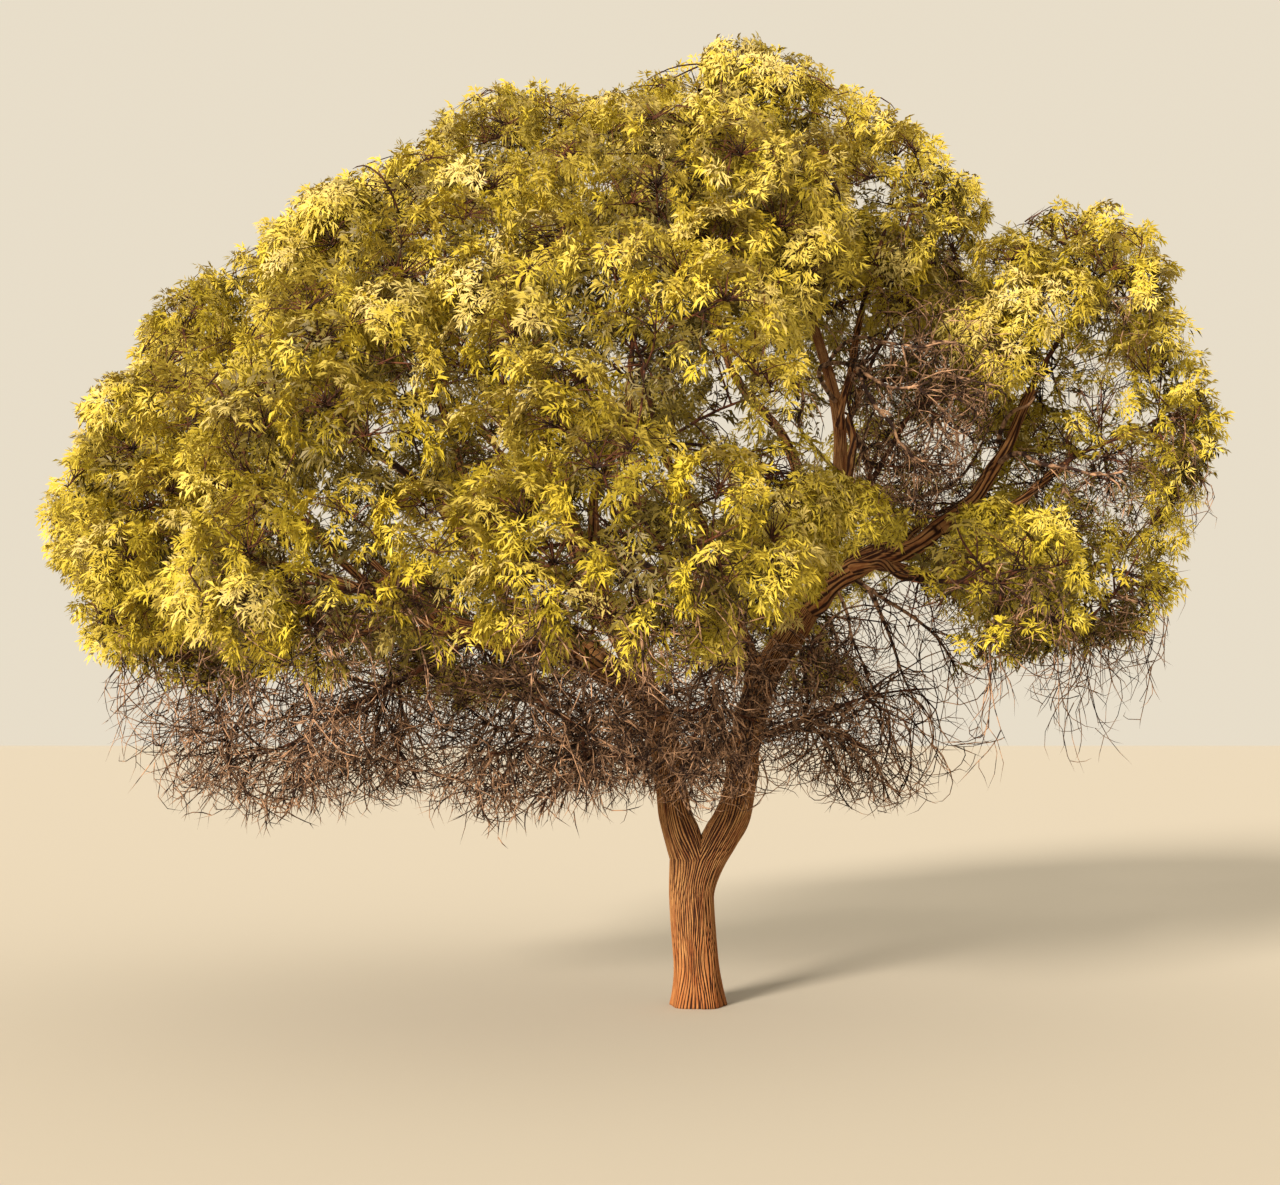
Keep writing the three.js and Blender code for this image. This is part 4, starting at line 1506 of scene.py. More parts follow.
@dataclass
class Growth:
    """Fine twigs and the places of the leaves, grown on from the coarse twigs within the masses' spaces."""

    skeleton: Skeleton
    clump_area: float = 0.155  # of a mass's outside for each clump
    clump_uneven: float = 0.12  # how far clumps stray from their even places
    clump_r: float = 0.26  # of a clump's dome of shoots
    clump_vary: tuple[float, float] = (0.7, 1.3)
    clump_flat: float = 0.75  # a dome's height, as a share of its width
    clump_rise: float = 0.6  # how much a dome turns up
    clump_tilt: float = 0.2  # how much it turns to any side
    clump_turn: float = 1.2  # how far round the dome reaches: 1 is half a ball, 2 a whole one
    clump_deep: tuple[float, float] = (1.6, 4.0)  # between which values of the crown's field the clumps stand
    clump_reach: tuple[float, float] = (0.3, 1.4)  # between how many half-sizes from a mass's middle
    clump_tries: int = 45
    clump_inward: float = -0.3  # none stands on a side of a full mass that faces further in
    clump_past: float = 0.24  # how far past the walls between masses clumps may stand
    twig_from: float = 0.3  # how far along a coarse twig a clump's own twig may start
    twig_steps: int = 5
    twig_arch: tuple[float, float] = (0.1, 0.07)  # how far it bends up and to any side, for its length
    twig_r: tuple[float, float] = (0.0065, 0.0034)  # at foot and tip
    leaf_deep: tuple[float, float] = (1.0, 1.6)  # the values of the field where a clump's outer shoots end
    leaf_uneven: float = 0.35  # how much that differs within a clump
    field_fall: float = 3.0  # how fast a mass's field falls off
    shoots: int = 24  # in each clump
    shoot_steps: int = 2
    shoot_back: float = 0.35  # how far back along the clump's own twig they start
    shoot_vary: tuple[float, float] = (0.86, 1.08)
    shoot_arch: tuple[float, float] = (0.14, 0.06)
    shoot_r: tuple[float, float] = (0.0042, 0.002)
    spurs: int = 2  # on each shoot, with a tuft at each end
    spur_from: float = 0.4  # how far along the shoot they start
    spur_over: float = 0.55  # and over how much of it they are spread
    spur_aside: float = 0.55
    spur_vary: tuple[float, float] = (0.78, 1.04)
    spur_r: tuple[float, float] = (0.0026, 0.0014)
    tuft_rise: float = 0.25  # how much the tufts turn up
    shade_chance: float = 0.35  # how much of a tuft's painted shade is chance
    shade_low: float = 0.65  # how much it has for standing low on its clump
    shade_thin: float = 0.6  # how much it has in a mass with no shoots left
    coarse_steps: int = 6
    coarse_bend: float = 0.09  # of a coarse twig, as a share of its length
    coarse_taper: float = 0.55
    stem_steps: int = 9
    inner_twigs: int = 13  # bare side twigs on each coarse twig
    inner_twig: Habit = Habit((0.05, 1.0), (0.5, 1.4), (0.2, 0.5), 5, 0.5, 1.8, (0.003, 0.0058), 0.4)
    inner_spurs: int = 2
    inner_spur: Habit = Habit((0.3, 0.95), (0.5, 1.2), (0.08, 0.2), 2, 0.4, 1.2, (0.0024, 0.0014))
    inner_over: float = 0.84
    inner_deep: float = 2.3  # the least field at which shaded leaves grow
    dead_shoots: int = 16  # on each coarse twig of a bare mass
    dead_twig: Habit = Habit((0.1, 1.0), (0.4, 1.3), (0.35, 0.95), 7, 1.2, 3.6, (0.0034, 0.009), 0.35)
    dead_spurs: int = 4
    dead_spur: Habit = Habit((0.15, 0.95), (0.4, 1.2), (0.2, 0.6), 5, 0.9, 4.4, (0.0038, 0.002))
    dead_hairs: int = 1  # fine twigs on each spur
    dead_hair: Habit = Habit((0.2, 0.95), (0.5, 1.1), (0.14, 0.4), 3, 0.8, 3.4, (0.0028, 0.0015))
    dead_over: float = 1.3
    limb_shoots: int = 5  # on each stretch of a crooked dead limb
    limb_twig: Habit = Habit((0.12, 1.0), (0.4, 1.2), (0.15, 0.5), 5, 0.9, 3.2, (0.003, 0.0065), 0.4)
    limb_spur: Habit = Habit((0.2, 0.95), (0.5, 1.2), (0.08, 0.24), 2, 0.6, 2.4, (0.0024, 0.0013))
    hung_low: float = 2.8  # masses whose middle lies lower also have dead twigs hanging under them
    hung_shoots: int = 10
    hung_twig: Habit = Habit((0.1, 0.9), (0.1, 0.7), (0.35, 0.85), 7, 1.2, 3.6, (0.0034, 0.009), 0.35)
    hung_level: float = 0.2  # how much of their coarse twig's rise they share
    hung_down: float = 0.5  # how much they turn down
    hung_over: float = 0.84
    hung_under: float = 0.1  # the greatest height over the mass's middle, in half-sizes
    grown_steps: int = 3  # a twig of fewer has no spurs
    spur_grown: int = 2  # a spur of fewer steps has no fine twigs
    wander_least: float = 0.3  # the least share of its habit's curl that a twig has
    wander_chance: float = 0.3  # how much its way strays by chance
    lowest: float = 0.94
    edge_vary: float = 0.42  # how much higher the skirt's edge is in places
    air: float = 0.004  # between fine twigs and limbs
    near_step: float = 0.03  # between the points by which the nearest limb is found
    opening_from: float = 0.8  # where an opening's edge begins, in half-sizes
    opening_edge: float = 0.4  # how wide that edge is
    bough_bared: float = 0.09  # how far round the long bough nothing fine grows in front of it
    bared_step: float = 0.05
    dead_bared: float = 0.045  # the same for the dead limbs in the opening
    bared_dead: tuple[str, ...] = ("arch", "high", "fork", "crook", "reach")
    bared_from: float = 0.25  # how far along they begin to show
    bared_samples: int = 24
    bared_stem: tuple[float, float] = (3.0, 3.95)  # the heights between which the right stem shows as bare
    bared_before: float = 0.01  # what stands less far in front than this stays
    lobes: float = 0.8  # how much deeper the shoots end in the dents of the crown's outside
    dent_from: float = -1.5  # the sum of the dents' waves at which they begin
    dent_span: float = 4.0  # and over how much of it they get deeper
    live: Bundle = field(default_factory=lambda: Bundle(Surface("twigs_live")))
    coarse: Bundle = field(default_factory=lambda: Bundle(Surface("twigs_coarse"), sides=6))
    bare: Bundle = field(default_factory=lambda: Bundle(Surface("twigs_inside")))
    dead: Bundle = field(default_factory=lambda: Bundle(Surface("twigs_dead")))
    hairs: Bundle = field(default_factory=lambda: Bundle(Surface("twigs_dead_fine")))
    outer: Sprays = field(default_factory=Sprays)
    inner: Sprays = field(default_factory=Sprays)

    def __post_init__(self) -> None:
        """Sets up the search for the limb nearest to a point."""
        places = []
        radii = []
        for limb in self.skeleton.limbs.values():
            points, wide, _ = limb.fine(self.near_step)
            places.append(points)
            radii.append(wide)
        self.limb_radii = np.concatenate(radii)
        self.limb_tree = kdtree.KDTree(len(self.limb_radii))
        for i, place in enumerate(np.concatenate(places)):
            self.limb_tree.insert(place, i)
        self.limb_tree.balance()
        leafy = [mass for mass in self.skeleton.masses.values() if mass.leafy]
        self.middles = np.array([mass.middle for mass in leafy])
        self.halves = np.array([mass.half for mass in leafy])
        stem = self.skeleton.limbs["stem_right"].fine(self.bared_step)[0]
        stem = stem[(stem[:, 2] > self.bared_stem[0]) & (stem[:, 2] < self.bared_stem[1])]
        thick = np.concatenate([self.skeleton.limbs["bough_right"].fine(self.bared_step)[0], stem])
        ways = [spline(placed(DEAD_LIMBS[name][1])) for name in self.bared_dead]
        shares = np.linspace(self.bared_from, 1, self.bared_samples)
        thin = np.array([way(share) for way in ways for share in shares])
        self.bared = np.concatenate([thick, thin])
        self.bared_wide = np.repeat([self.bough_bared, self.dead_bared], [len(thick), len(thin)])
        self.seen_clumps = np.concatenate([placed(points) for points in SEEN_CLUMPS.values()])

    def thinned(self, points: np.ndarray, kind: Growing, rng: np.random.Generator) -> np.ndarray:
        """Tells which of these grow, fewer where the view from the front shows an opening.

        Args:
            points: Where they are.
            kind: What they are.
            rng: The stream of numbers.

        Returns:
            True or false for each.
        """
        share = np.ones(len(points))
        seen = seen_at(points)
        for opening in OPENINGS:
            away = np.linalg.norm((seen - opening.at) / opening.half, axis=1)
            away[points[:, 1] > opening.deep] = np.inf
            least = getattr(opening, kind.value)
            edge = np.clip((away - self.opening_from) / self.opening_edge, 0, 1)
            share = np.minimum(share, least + (1 - least) * edge)
        if kind is not Growing.DEAD:
            share[self.shown(points)] = 1.0
        return rng.random(len(points)) < share

    def shown(self, points: np.ndarray) -> np.ndarray:
        """Tells which points belong to the clumps that the view from the front shows."""
        gaps = np.linalg.norm(points[:, None] - self.seen_clumps, axis=-1)
        return gaps.min(axis=1) < self.clump_r

    def hides_bough(self, points: np.ndarray) -> np.ndarray:
        """Tells which points stand in front of the bared limbs in the view from the front.

        Args:
            points: The points.

        Returns:
            True or false for each.
        """
        gaps = np.linalg.norm(seen_at(points)[:, None] - seen_at(self.bared)[None], axis=-1)
        nearest = (gaps - self.bared_wide).argmin(axis=1)
        near = gaps[np.arange(len(points)), nearest] < self.bared_wide[nearest]
        before = points[:, 1] < self.bared[nearest, 1] - self.bared_before
        return near & before & ~self.shown(points)

    def clear_of_limbs(self, points: np.ndarray) -> np.ndarray:
        """Tells which points lie clear of every limb.

        Args:
            points: The points.

        Returns:
            True or false for each.
        """
        clear = np.ones(len(points), bool)
        for i, point in enumerate(points):
            _, nearest, gap = self.limb_tree.find(point)
            clear[i] = gap > self.limb_radii[nearest] + self.air
        return clear

    def kept_steps(self, points: np.ndarray, allowed: Callable[[np.ndarray], np.ndarray]) -> np.ndarray:
        """Counts the steps of each twig before it leaves its space or meets a limb.

        Args:
            points: The points of each twig.
            allowed: Tells which points lie in the space.

        Returns:
            The number of steps kept.
        """
        count, size, _ = points.shape
        spots = points[:, 1:].reshape(-1, 3)
        good = allowed(spots) & ~self.hides_bough(spots)
        good[good] = self.clear_of_limbs(spots[good])
        return np.cumprod(good.reshape(count, size - 1), axis=1).sum(axis=1)

    def wander(
        self, rng: np.random.Generator, feet: np.ndarray, ways: np.ndarray, habit: Habit
    ) -> np.ndarray:
        """Grows curling twigs step by step.

        Args:
            rng: The mass's own stream of numbers.
            feet: Where they grow.
            ways: The direction in which each starts.
            habit: How they grow.

        Returns:
            The points of each twig.
        """
        count = len(feet)
        steps = habit.steps
        longs = rng.uniform(*habit.long, count)
        points = np.empty((count, steps + 1, 3))
        points[:, 0] = feet
        heading = unit(ways)
        axis = unit(rng.normal(size=(count, 3)))
        bend = habit.curl * rng.uniform(self.wander_least, 1.0, (count, 1))
        for k in range(steps):
            heading = heading + np.cross(axis, heading) * bend / steps
            heading += rng.normal(size=(count, 3)) * self.wander_chance / steps
            heading[:, 2] -= habit.droop / steps
            heading = unit(heading)
            points[:, k + 1] = points[:, k] + heading * (longs / steps)[:, None]
        return points

    @staticmethod
    def bent(starts: np.ndarray, ends: np.ndarray, bends: np.ndarray, shares: np.ndarray) -> np.ndarray:
        """Returns the points at these shares of bent twigs."""
        share = shares[..., None]
        return starts + (ends - starts) * share + bends * np.sin(math.pi * share)

    @staticmethod
    def turned(rng: np.random.Generator, headings: np.ndarray, turn: tuple[float, float]) -> np.ndarray:
        """Turns directions aside at random.

        Args:
            rng: The stream of numbers.
            headings: The directions.
            turn: The least and the greatest angle.

        Returns:
            The new directions.
        """
        side = unit(np.cross(headings, rng.normal(size=headings.shape)))
        angle = rng.uniform(*turn, (len(headings), 1))
        return headings * np.cos(angle) + side * np.sin(angle)

    @staticmethod
    def places_on(
        points: np.ndarray, counts: np.ndarray, shares: np.ndarray
    ) -> tuple[np.ndarray, np.ndarray]:
        """Finds places on twigs.

        Args:
            points: The points of each twig.
            counts: Its kept steps.
            shares: The share of those at which the place lies.

        Returns:
            The places, and the twigs' directions there.
        """
        place = shares * counts
        step = np.minimum(place.astype(int), np.maximum(counts - 1, 0))
        rows = np.arange(len(points))
        start = points[rows, step]
        end = points[rows, step + 1]
        return start + (end - start) * (place - step)[:, None], unit(end - start)

    def crown_field(self, points: np.ndarray) -> tuple[np.ndarray, np.ndarray]:
        """Tells how deep points lie in the crown, whose masses run into each other where they meet.

        Args:
            points: The points.

        Returns:
            The masses' summed fields there, one at the outside of a mass that stands alone, and the direction
            out of the crown.
        """
        away = (points[:, None] - self.middles) / self.halves
        parts = np.exp(self.field_fall * (1 - (away**2).sum(axis=-1)))
        return parts.sum(axis=1), unit((parts[..., None] * away / self.halves).sum(axis=1))

    def dents(self, points: np.ndarray) -> np.ndarray:
        """Tells how far points lie in a dent of the crown's outside.

        Args:
            points: The points.

        Returns:
            From 0 on a lobe to 1 in a dent between two.
        """
        x, y, z = points.T
        # The rates are in radians per metre, and uneven so that the dents don't stand in rows
        across = np.sin(6.1 * x + 1.9 * np.sin(4.7 * z))
        back = np.sin(5.3 * y + 2.1 * np.sin(4.1 * x))
        wave = across + back + np.sin(7.7 * z + 2 * y)
        return np.clip((wave - self.dent_from) / self.dent_span, 0, 1)

    def low_edge(self, points: np.ndarray) -> np.ndarray:
        """Tells how low dead twigs may hang.

        Args:
            points: Where they hang.

        Returns:
            The least height at each of those places.
        """
        x = points[:, 0]
        y = points[:, 1]
        # Three waves in radians per metre, from wide dips to the width of a few twigs
        wave = np.sin(5.1 * x + 2.2 * np.sin(3.3 * y)) + np.sin(13.7 * x + 9.1 * y) + np.sin(31 * x - 23 * y)
        return self.lowest + self.edge_vary * (wave + 3) / 6

    def coarse_twigs(self, mass: Mass, rng: np.random.Generator) -> tuple[np.ndarray, np.ndarray, np.ndarray]:
        """Draws a mass's stem and coarse twigs, a little bent.

        Args:
            mass: The mass.
            rng: Its own stream of numbers.

        Returns:
            Where each twig starts and ends, and how it bends.
        """
        starts = np.array([twig.parent.point for twig in mass.twigs])
        ends = np.array([twig.point for twig in mass.twigs])
        radii = np.array([twig.r for twig in mass.twigs])
        long = np.linalg.norm(ends - starts, axis=1)
        bends = unit(np.cross(ends - starts, rng.normal(size=ends.shape)))
        bends = bends * (self.coarse_bend * long)[:, None]
        shares = np.tile(np.linspace(0, 1, self.coarse_steps + 1), (len(ends), 1))
        points = self.bent(starts[:, None], ends[:, None], bends[:, None], shares)
        self.coarse.add(points, radii, radii * self.coarse_taper, np.full(len(ends), self.coarse_steps))
        way = spline(mass.stem)
        stem = np.array([way(share) for share in np.linspace(0, 1, self.stem_steps + 1)])[None]
        self.coarse.add(stem, mass.stem_radii[0], mass.stem_radii[-1], np.array([self.stem_steps]))
        return starts, ends, bends

    def clumps_of(self, mass: Mass, rng: np.random.Generator, full: float) -> tuple[np.ndarray, np.ndarray]:
        """Deals out a mass's clumps by the golden angle, at uneven depths under the crown's outside.

        Args:
            mass: The mass, in whose space they lie.
            rng: Its own stream of numbers.
            full: The share of its clumps that grow.

        Returns:
            The middles, and the direction out of the crown at each.
        """
        count = half_up(4 * math.pi * (mass.half.mean() * PAD_DEPTH) ** 2 / self.clump_area)
        number = np.arange(count)
        up = 1 - 2 * (number + 0.5) / count
        level = np.sqrt(1 - up**2)
        angle = rng.random() * 2 * math.pi + number * GOLDEN_ANGLE
        outs = np.stack([level * np.cos(angle), level * np.sin(angle), up], axis=1)
        outs = unit(outs + rng.normal(size=outs.shape) * self.clump_uneven)
        inward = -1.0 if mass.name in FULLNESS else self.clump_inward
        outs = outs[(outs @ mass.outward > inward) & (rng.random(count) < full)]
        wanted = rng.uniform(*self.clump_deep, len(outs))
        tries = np.linspace(*self.clump_reach, self.clump_tries)[:, None]
        spots = mass.middle + (outs * mass.half)[:, None] * tries
        deep, _ = self.crown_field(spots.reshape(-1, 3))
        past = deep.reshape(len(outs), -1) < wanted[:, None]
        points = spots[np.arange(len(outs)), past.argmax(axis=1)]
        points = points[past.any(axis=1) & mass.inside(points, -self.clump_past, self.clump_reach[1])]
        if mass.name in SEEN_CLUMPS:
            points = np.concatenate([points, placed(SEEN_CLUMPS[mass.name])])
        return points, self.crown_field(points)[1]

    def fine_twigs(
        self,
        mass: Mass,
        rng: np.random.Generator,
        coarse: tuple[np.ndarray, np.ndarray, np.ndarray],
        points: np.ndarray,
    ) -> tuple[np.ndarray, np.ndarray]:
        """Joins every clump to the place on the stem or a coarse twig that gives it the shortest way.

        Args:
            mass: The mass.
            rng: Its own stream of numbers.
            coarse: Where each coarse twig starts and ends, and how it bends.
            points: The clumps' middles.

        Returns:
            Where each clump's twig starts, and how it bends.
        """
        starts, ends, bends = coarse
        shares = np.linspace(self.twig_from, 1, self.coarse_steps)
        along = self.bent(starts[:, None], ends[:, None], bends[:, None], np.tile(shares, (len(ends), 1)))
        ways = np.array([twig.parent.way for twig in mass.twigs])[:, None]
        ways = ways + np.linalg.norm(ends - starts, axis=1)[:, None] * shares
        places = np.concatenate([mass.stem[1:], along.reshape(-1, 3)])
        stem_ways = np.cumsum(np.linalg.norm(np.diff(mass.stem, axis=0), axis=1))
        ways = np.concatenate([stem_ways, ways.ravel()])
        gaps = np.linalg.norm(points[:, None] - places, axis=-1)
        feet = places[(gaps + JOIN_BALANCE * ways).argmin(axis=1)]
        long = np.linalg.norm(points - feet, axis=1, keepdims=True)
        up, aside = self.twig_arch
        arches = (UP * up + rng.normal(size=points.shape) * aside) * long
        shares = np.tile(np.linspace(0, 1, self.twig_steps + 1), (len(points), 1))
        twigs = self.bent(feet[:, None], points[:, None], arches[:, None], shares)
        counts = self.kept_steps(twigs, lambda spots: np.ones(len(spots), bool))
        self.live.add(twigs, *self.twig_r, counts)
        return feet, arches

    def clothe(self, mass: Mass, full: float) -> None:
        """Grows a leafy mass's clumps of shoots, their spurs and the tufts.

        Args:
            mass: The mass.
            full: The share of its shoots that grow.
        """
        rng = np.random.default_rng(mass.seed)
        coarse = self.coarse_twigs(mass, rng)
        self.side_twigs(mass, rng, *coarse)
        middles, outs = self.clumps_of(mass, rng, math.sqrt(full))
        feet, arches = self.fine_twigs(mass, rng, coarse, middles)
        shoots = max(3, half_up(self.shoots * math.sqrt(full)))
        clumps = len(middles)
        clump = np.repeat(np.arange(clumps), shoots)
        axes = unit(outs + self.clump_rise * UP + rng.normal(size=outs.shape) * self.clump_tilt)
        side = unit(np.cross(axes, ASKEW))
        other = np.cross(axes, side)
        rise = np.tile(1 - (np.arange(shoots) + 0.5) / shoots * self.clump_turn, clumps)[:, None]
        level = np.sqrt(1 - rise**2)
        angle = np.tile(np.arange(shoots) * GOLDEN_ANGLE, clumps)
        angle = (angle + np.repeat(rng.random(clumps) * 2 * math.pi, shoots))[:, None]
        ways = axes[clump] * rise + (np.cos(angle) * side[clump] + np.sin(angle) * other[clump]) * level
        ways[:, 2] *= self.clump_flat
        reach = (np.repeat(rng.uniform(*self.clump_vary, clumps), shoots) * self.clump_r)[:, None]
        tips = middles[clump] + ways * reach * rng.uniform(*self.shoot_vary, (len(clump), 1))
        share = 1 - self.shoot_back * rng.random(len(clump))
        starts = self.bent(feet[clump], middles[clump], arches[clump], share)
        long = np.linalg.norm(tips - starts, axis=1, keepdims=True)
        up, aside = self.shoot_arch
        bends = (UP * up + rng.normal(size=tips.shape) * aside) * long
        shares = np.tile(np.linspace(0, 1, self.shoot_steps + 1), (len(clump), 1))
        points = self.bent(starts[:, None], tips[:, None], bends[:, None], shares)
        least = rng.uniform(*self.leaf_deep, clumps) + self.lobes * self.dents(middles) ** 2
        least = least[clump] + self.leaf_uneven * rng.random(len(clump))
        least[self.shown(tips)] = 0.0
        least_steps = np.repeat(least, self.shoot_steps)
        counts = self.kept_steps(points, lambda spots: self.crown_field(spots)[0] > least_steps)
        dense = self.thinned(tips, Growing.TUFTS, rng)
        counts[~dense & ~self.thinned(tips, Growing.LIVE, rng)] = 0
        self.live.add(points, *self.shoot_r, counts)
        grown = counts == self.shoot_steps
        points = points[grown]
        counts = counts[grown]
        ways = ways[grown]
        reach = reach[grown]
        least = least[grown]
        dense = dense[grown]
        middles = middles[clump][grown]
        # Each tuft's share of shade, by which its tint of painted light is chosen
        shade = self.shade_chance * rng.random(len(points))
        shade = shade + self.shade_low * (1 - rise[grown, 0]) / self.clump_turn
        shade += self.shade_thin * (1 - full)
        self.outer.add(points[dense, -1], ways[dense] + self.tuft_rise * UP, shade[dense])
        for k in range(self.spurs):
            share = self.spur_from + self.spur_over * (k + rng.random(len(points))) / self.spurs
            starts, _ = self.places_on(points, counts, share)
            aside = unit(ways + rng.normal(size=ways.shape) * self.spur_aside)
            tips = middles + aside * reach * rng.uniform(*self.spur_vary, (len(points), 1))
            spurs = np.stack([starts, tips], axis=1)
            kept = self.kept_steps(spurs, lambda spots: self.crown_field(spots)[0] > least)
            whole = kept == 1
            self.live.add(spurs[whole], *self.spur_r, kept[whole])
            whole &= dense & self.thinned(tips, Growing.TUFTS, rng)
            self.outer.add(tips[whole], aside[whole] + self.tuft_rise * UP, shade[whole])

    def spurs_on(
        self,
        rng: np.random.Generator,
        points: np.ndarray,
        counts: np.ndarray,
        habit: Habit,
        allowed: Callable[[np.ndarray], np.ndarray],
    ) -> tuple[np.ndarray, np.ndarray, np.ndarray]:
        """Grows a side twig on each of these twigs.

        Args:
            rng: The mass's own stream of numbers.
            points: The points of each twig.
            counts: Its kept steps.
            habit: How the side twigs grow.
            allowed: Tells which points lie in their space.

        Returns:
            The points of each side twig, its parent's direction where it grows, and the number of steps kept.
        """
        feet, headings = self.places_on(points, counts, rng.uniform(*habit.on, len(points)))
        spurs = self.wander(rng, feet, self.turned(rng, headings, habit.turn), habit)
        return spurs, headings, self.kept_steps(spurs, allowed)

    def side_twigs(
        self, mass: Mass, rng: np.random.Generator, starts: np.ndarray, ends: np.ndarray, bends: np.ndarray
    ) -> None:
        """Grows bare, curling side twigs inside a leafy mass, some with a tuft of shaded leaves.

        Args:
            mass: The mass.
            rng: Its own stream of numbers.
            starts: Where each coarse twig starts.
            ends: Where it ends.
            bends: How it bends.
        """

        def within(spots: np.ndarray) -> np.ndarray:
            """Tells which points lie in the mass's space."""
            return mass.inside(spots, SPACE_AIR, self.inner_over)

        habit = self.inner_twig
        twig = np.repeat(np.arange(len(ends)), self.inner_twigs)
        feet = self.bent(starts[twig], ends[twig], bends[twig], rng.uniform(*habit.on, len(twig)))
        ways = self.turned(rng, unit((ends - starts)[twig]), habit.turn)
        points = self.wander(rng, feet, ways, habit)
        counts = self.kept_steps(points, within)
        self.bare.add(points, *habit.radii(rng, len(points)), counts)
        grown = counts >= self.grown_steps
        points = points[grown]
        counts = counts[grown]
        tips, headings = self.places_on(points, counts, np.ones(len(points)))
        dense = self.thinned(tips, Growing.TUFTS, rng) & (self.crown_field(tips)[0] > self.inner_deep)
        self.inner.add(tips[dense], unit(headings[dense]) + mass.outward, rng.random(dense.sum()))
        habit = self.inner_spur
        for _ in range(self.inner_spurs):
            spurs, headings, kept = self.spurs_on(rng, points, counts, habit, within)
            self.bare.add(spurs, *habit.radii(rng, len(spurs)), kept)
            tips = spurs[:, -1]
            whole = (kept == habit.steps) & self.thinned(tips, Growing.TUFTS, rng)
            whole &= self.crown_field(tips)[0] > self.inner_deep
            self.inner.add(tips[whole], headings[whole] + mass.outward, rng.random(whole.sum()))

    def leave_bare(self, mass: Mass) -> None:
        """Grows a bare mass's tangle of long, drooping dead twigs.

        Args:
            mass: The mass.
        """

        def around(spots: np.ndarray) -> np.ndarray:
            """Tells which points lie round the mass and over the skirt's edge."""
            near = np.linalg.norm((spots - mass.middle) / mass.half, axis=-1) < self.dead_over
            return near & (spots[:, 2] > self.low_edge(spots))

        rng = np.random.default_rng(mass.seed)
        starts, ends, bends = self.coarse_twigs(mass, rng)
        habit = self.dead_twig
        twig = np.repeat(np.arange(len(ends)), self.dead_shoots)
        feet = self.bent(starts[twig], ends[twig], bends[twig], rng.uniform(*habit.on, len(twig)))
        ways = self.turned(rng, unit((ends - starts)[twig]), habit.turn)
        self.dead_sprays(rng, feet, ways, habit, around)

    def hang_dead(self, mass: Mass) -> None:
        """Grows dead twigs that hang from the underside of a low mass.

        Args:
            mass: The mass.
        """

        def under(spots: np.ndarray) -> np.ndarray:
            """Tells which points lie under the mass and over the skirt's edge.

            Args:
                spots: The points.

            Returns:
                True or false for each.
            """
            away = (spots - mass.middle) / mass.half
            near = (np.hypot(away[:, 0], away[:, 1]) < self.hung_over) & (away[:, 2] < self.hung_under)
            return near & (spots[:, 2] > self.low_edge(spots))

        rng = np.random.default_rng(mass.seed + 1)
        starts = np.array([twig.parent.point for twig in mass.twigs])
        ends = np.array([twig.point for twig in mass.twigs])
        habit = self.hung_twig
        twig = np.repeat(np.arange(len(ends)), self.hung_shoots)
        straight = np.zeros((len(twig), 3))
        feet = self.bent(starts[twig], ends[twig], straight, rng.uniform(*habit.on, len(twig)))
        outward = unit((ends - starts)[twig] * np.array([1, 1, self.hung_level])) - self.hung_down * UP
        self.dead_sprays(rng, feet, self.turned(rng, unit(outward), habit.turn), habit, under)

    def dead_sprays(
        self,
        rng: np.random.Generator,
        feet: np.ndarray,
        ways: np.ndarray,
        habit: Habit,
        allowed: Callable[[np.ndarray], np.ndarray],
    ) -> None:
        """Grows dead twigs with side twigs, and fine spurs on those.

        Args:
            rng: The mass's own stream of numbers.
            feet: Where they grow.
            ways: The direction in which each starts.
            habit: How they grow.
            allowed: Tells which points lie in their space.
        """
        points = self.wander(rng, feet, ways, habit)
        counts = self.kept_steps(points, allowed)
        middles = points[:, (habit.steps + 1) // 2]
        counts[~self.thinned(middles, Growing.DEAD, rng)] = 0
        self.dead.add(points, *habit.radii(rng, len(points)), counts)
        grown = counts >= self.grown_steps
        points = points[grown]
        counts = counts[grown]
        for _ in range(self.dead_spurs):
            sides, _, kept = self.spurs_on(rng, points, counts, self.dead_spur, allowed)
            self.dead.add(sides, *self.dead_spur.radii(rng, len(sides)), kept)
            good = kept >= self.spur_grown
            for _ in range(self.dead_hairs):
                fine, _, left = self.spurs_on(rng, sides[good], kept[good], self.dead_hair, allowed)
                self.hairs.add(fine, *self.dead_hair.radii(rng, len(fine)), left)

    def twig_dead_limbs(self, routes: list[np.ndarray]) -> None:
        """Grows dead twigs on the crooked dead limbs.

        Args:
            routes: The points of each limb.
        """

        def above(spots: np.ndarray) -> np.ndarray:
            """Tells which points lie clear of the ground."""
            return spots[:, 2] > self.lowest

        rng = np.random.default_rng(FIRST_SEED)
        for route in routes:
            count = self.limb_shoots * (len(route) - 1)
            points = np.repeat(route[None], count, axis=0)
            steps = np.full(count, len(route) - 1)
            twigs, _, kept = self.spurs_on(rng, points, steps, self.limb_twig, above)
            self.dead.add(twigs, *self.limb_twig.radii(rng, count), kept)
            for _ in range(self.dead_spurs):
                fine, _, left = self.spurs_on(rng, twigs, np.maximum(kept, 1), self.limb_spur, above)
                self.hairs.add(fine, *self.limb_spur.radii(rng, count), left * (kept > 0))

    def grow(self) -> None:
        """Grows every mass."""
        for mass in self.skeleton.masses.values():
            if not mass.leafy:
                self.leave_bare(mass)
                continue
            self.clothe(mass, FULLNESS.get(mass.name, 1.0))
            if mass.middle[2] < self.hung_low or mass.name in FULLNESS:
                self.hang_dead(mass)


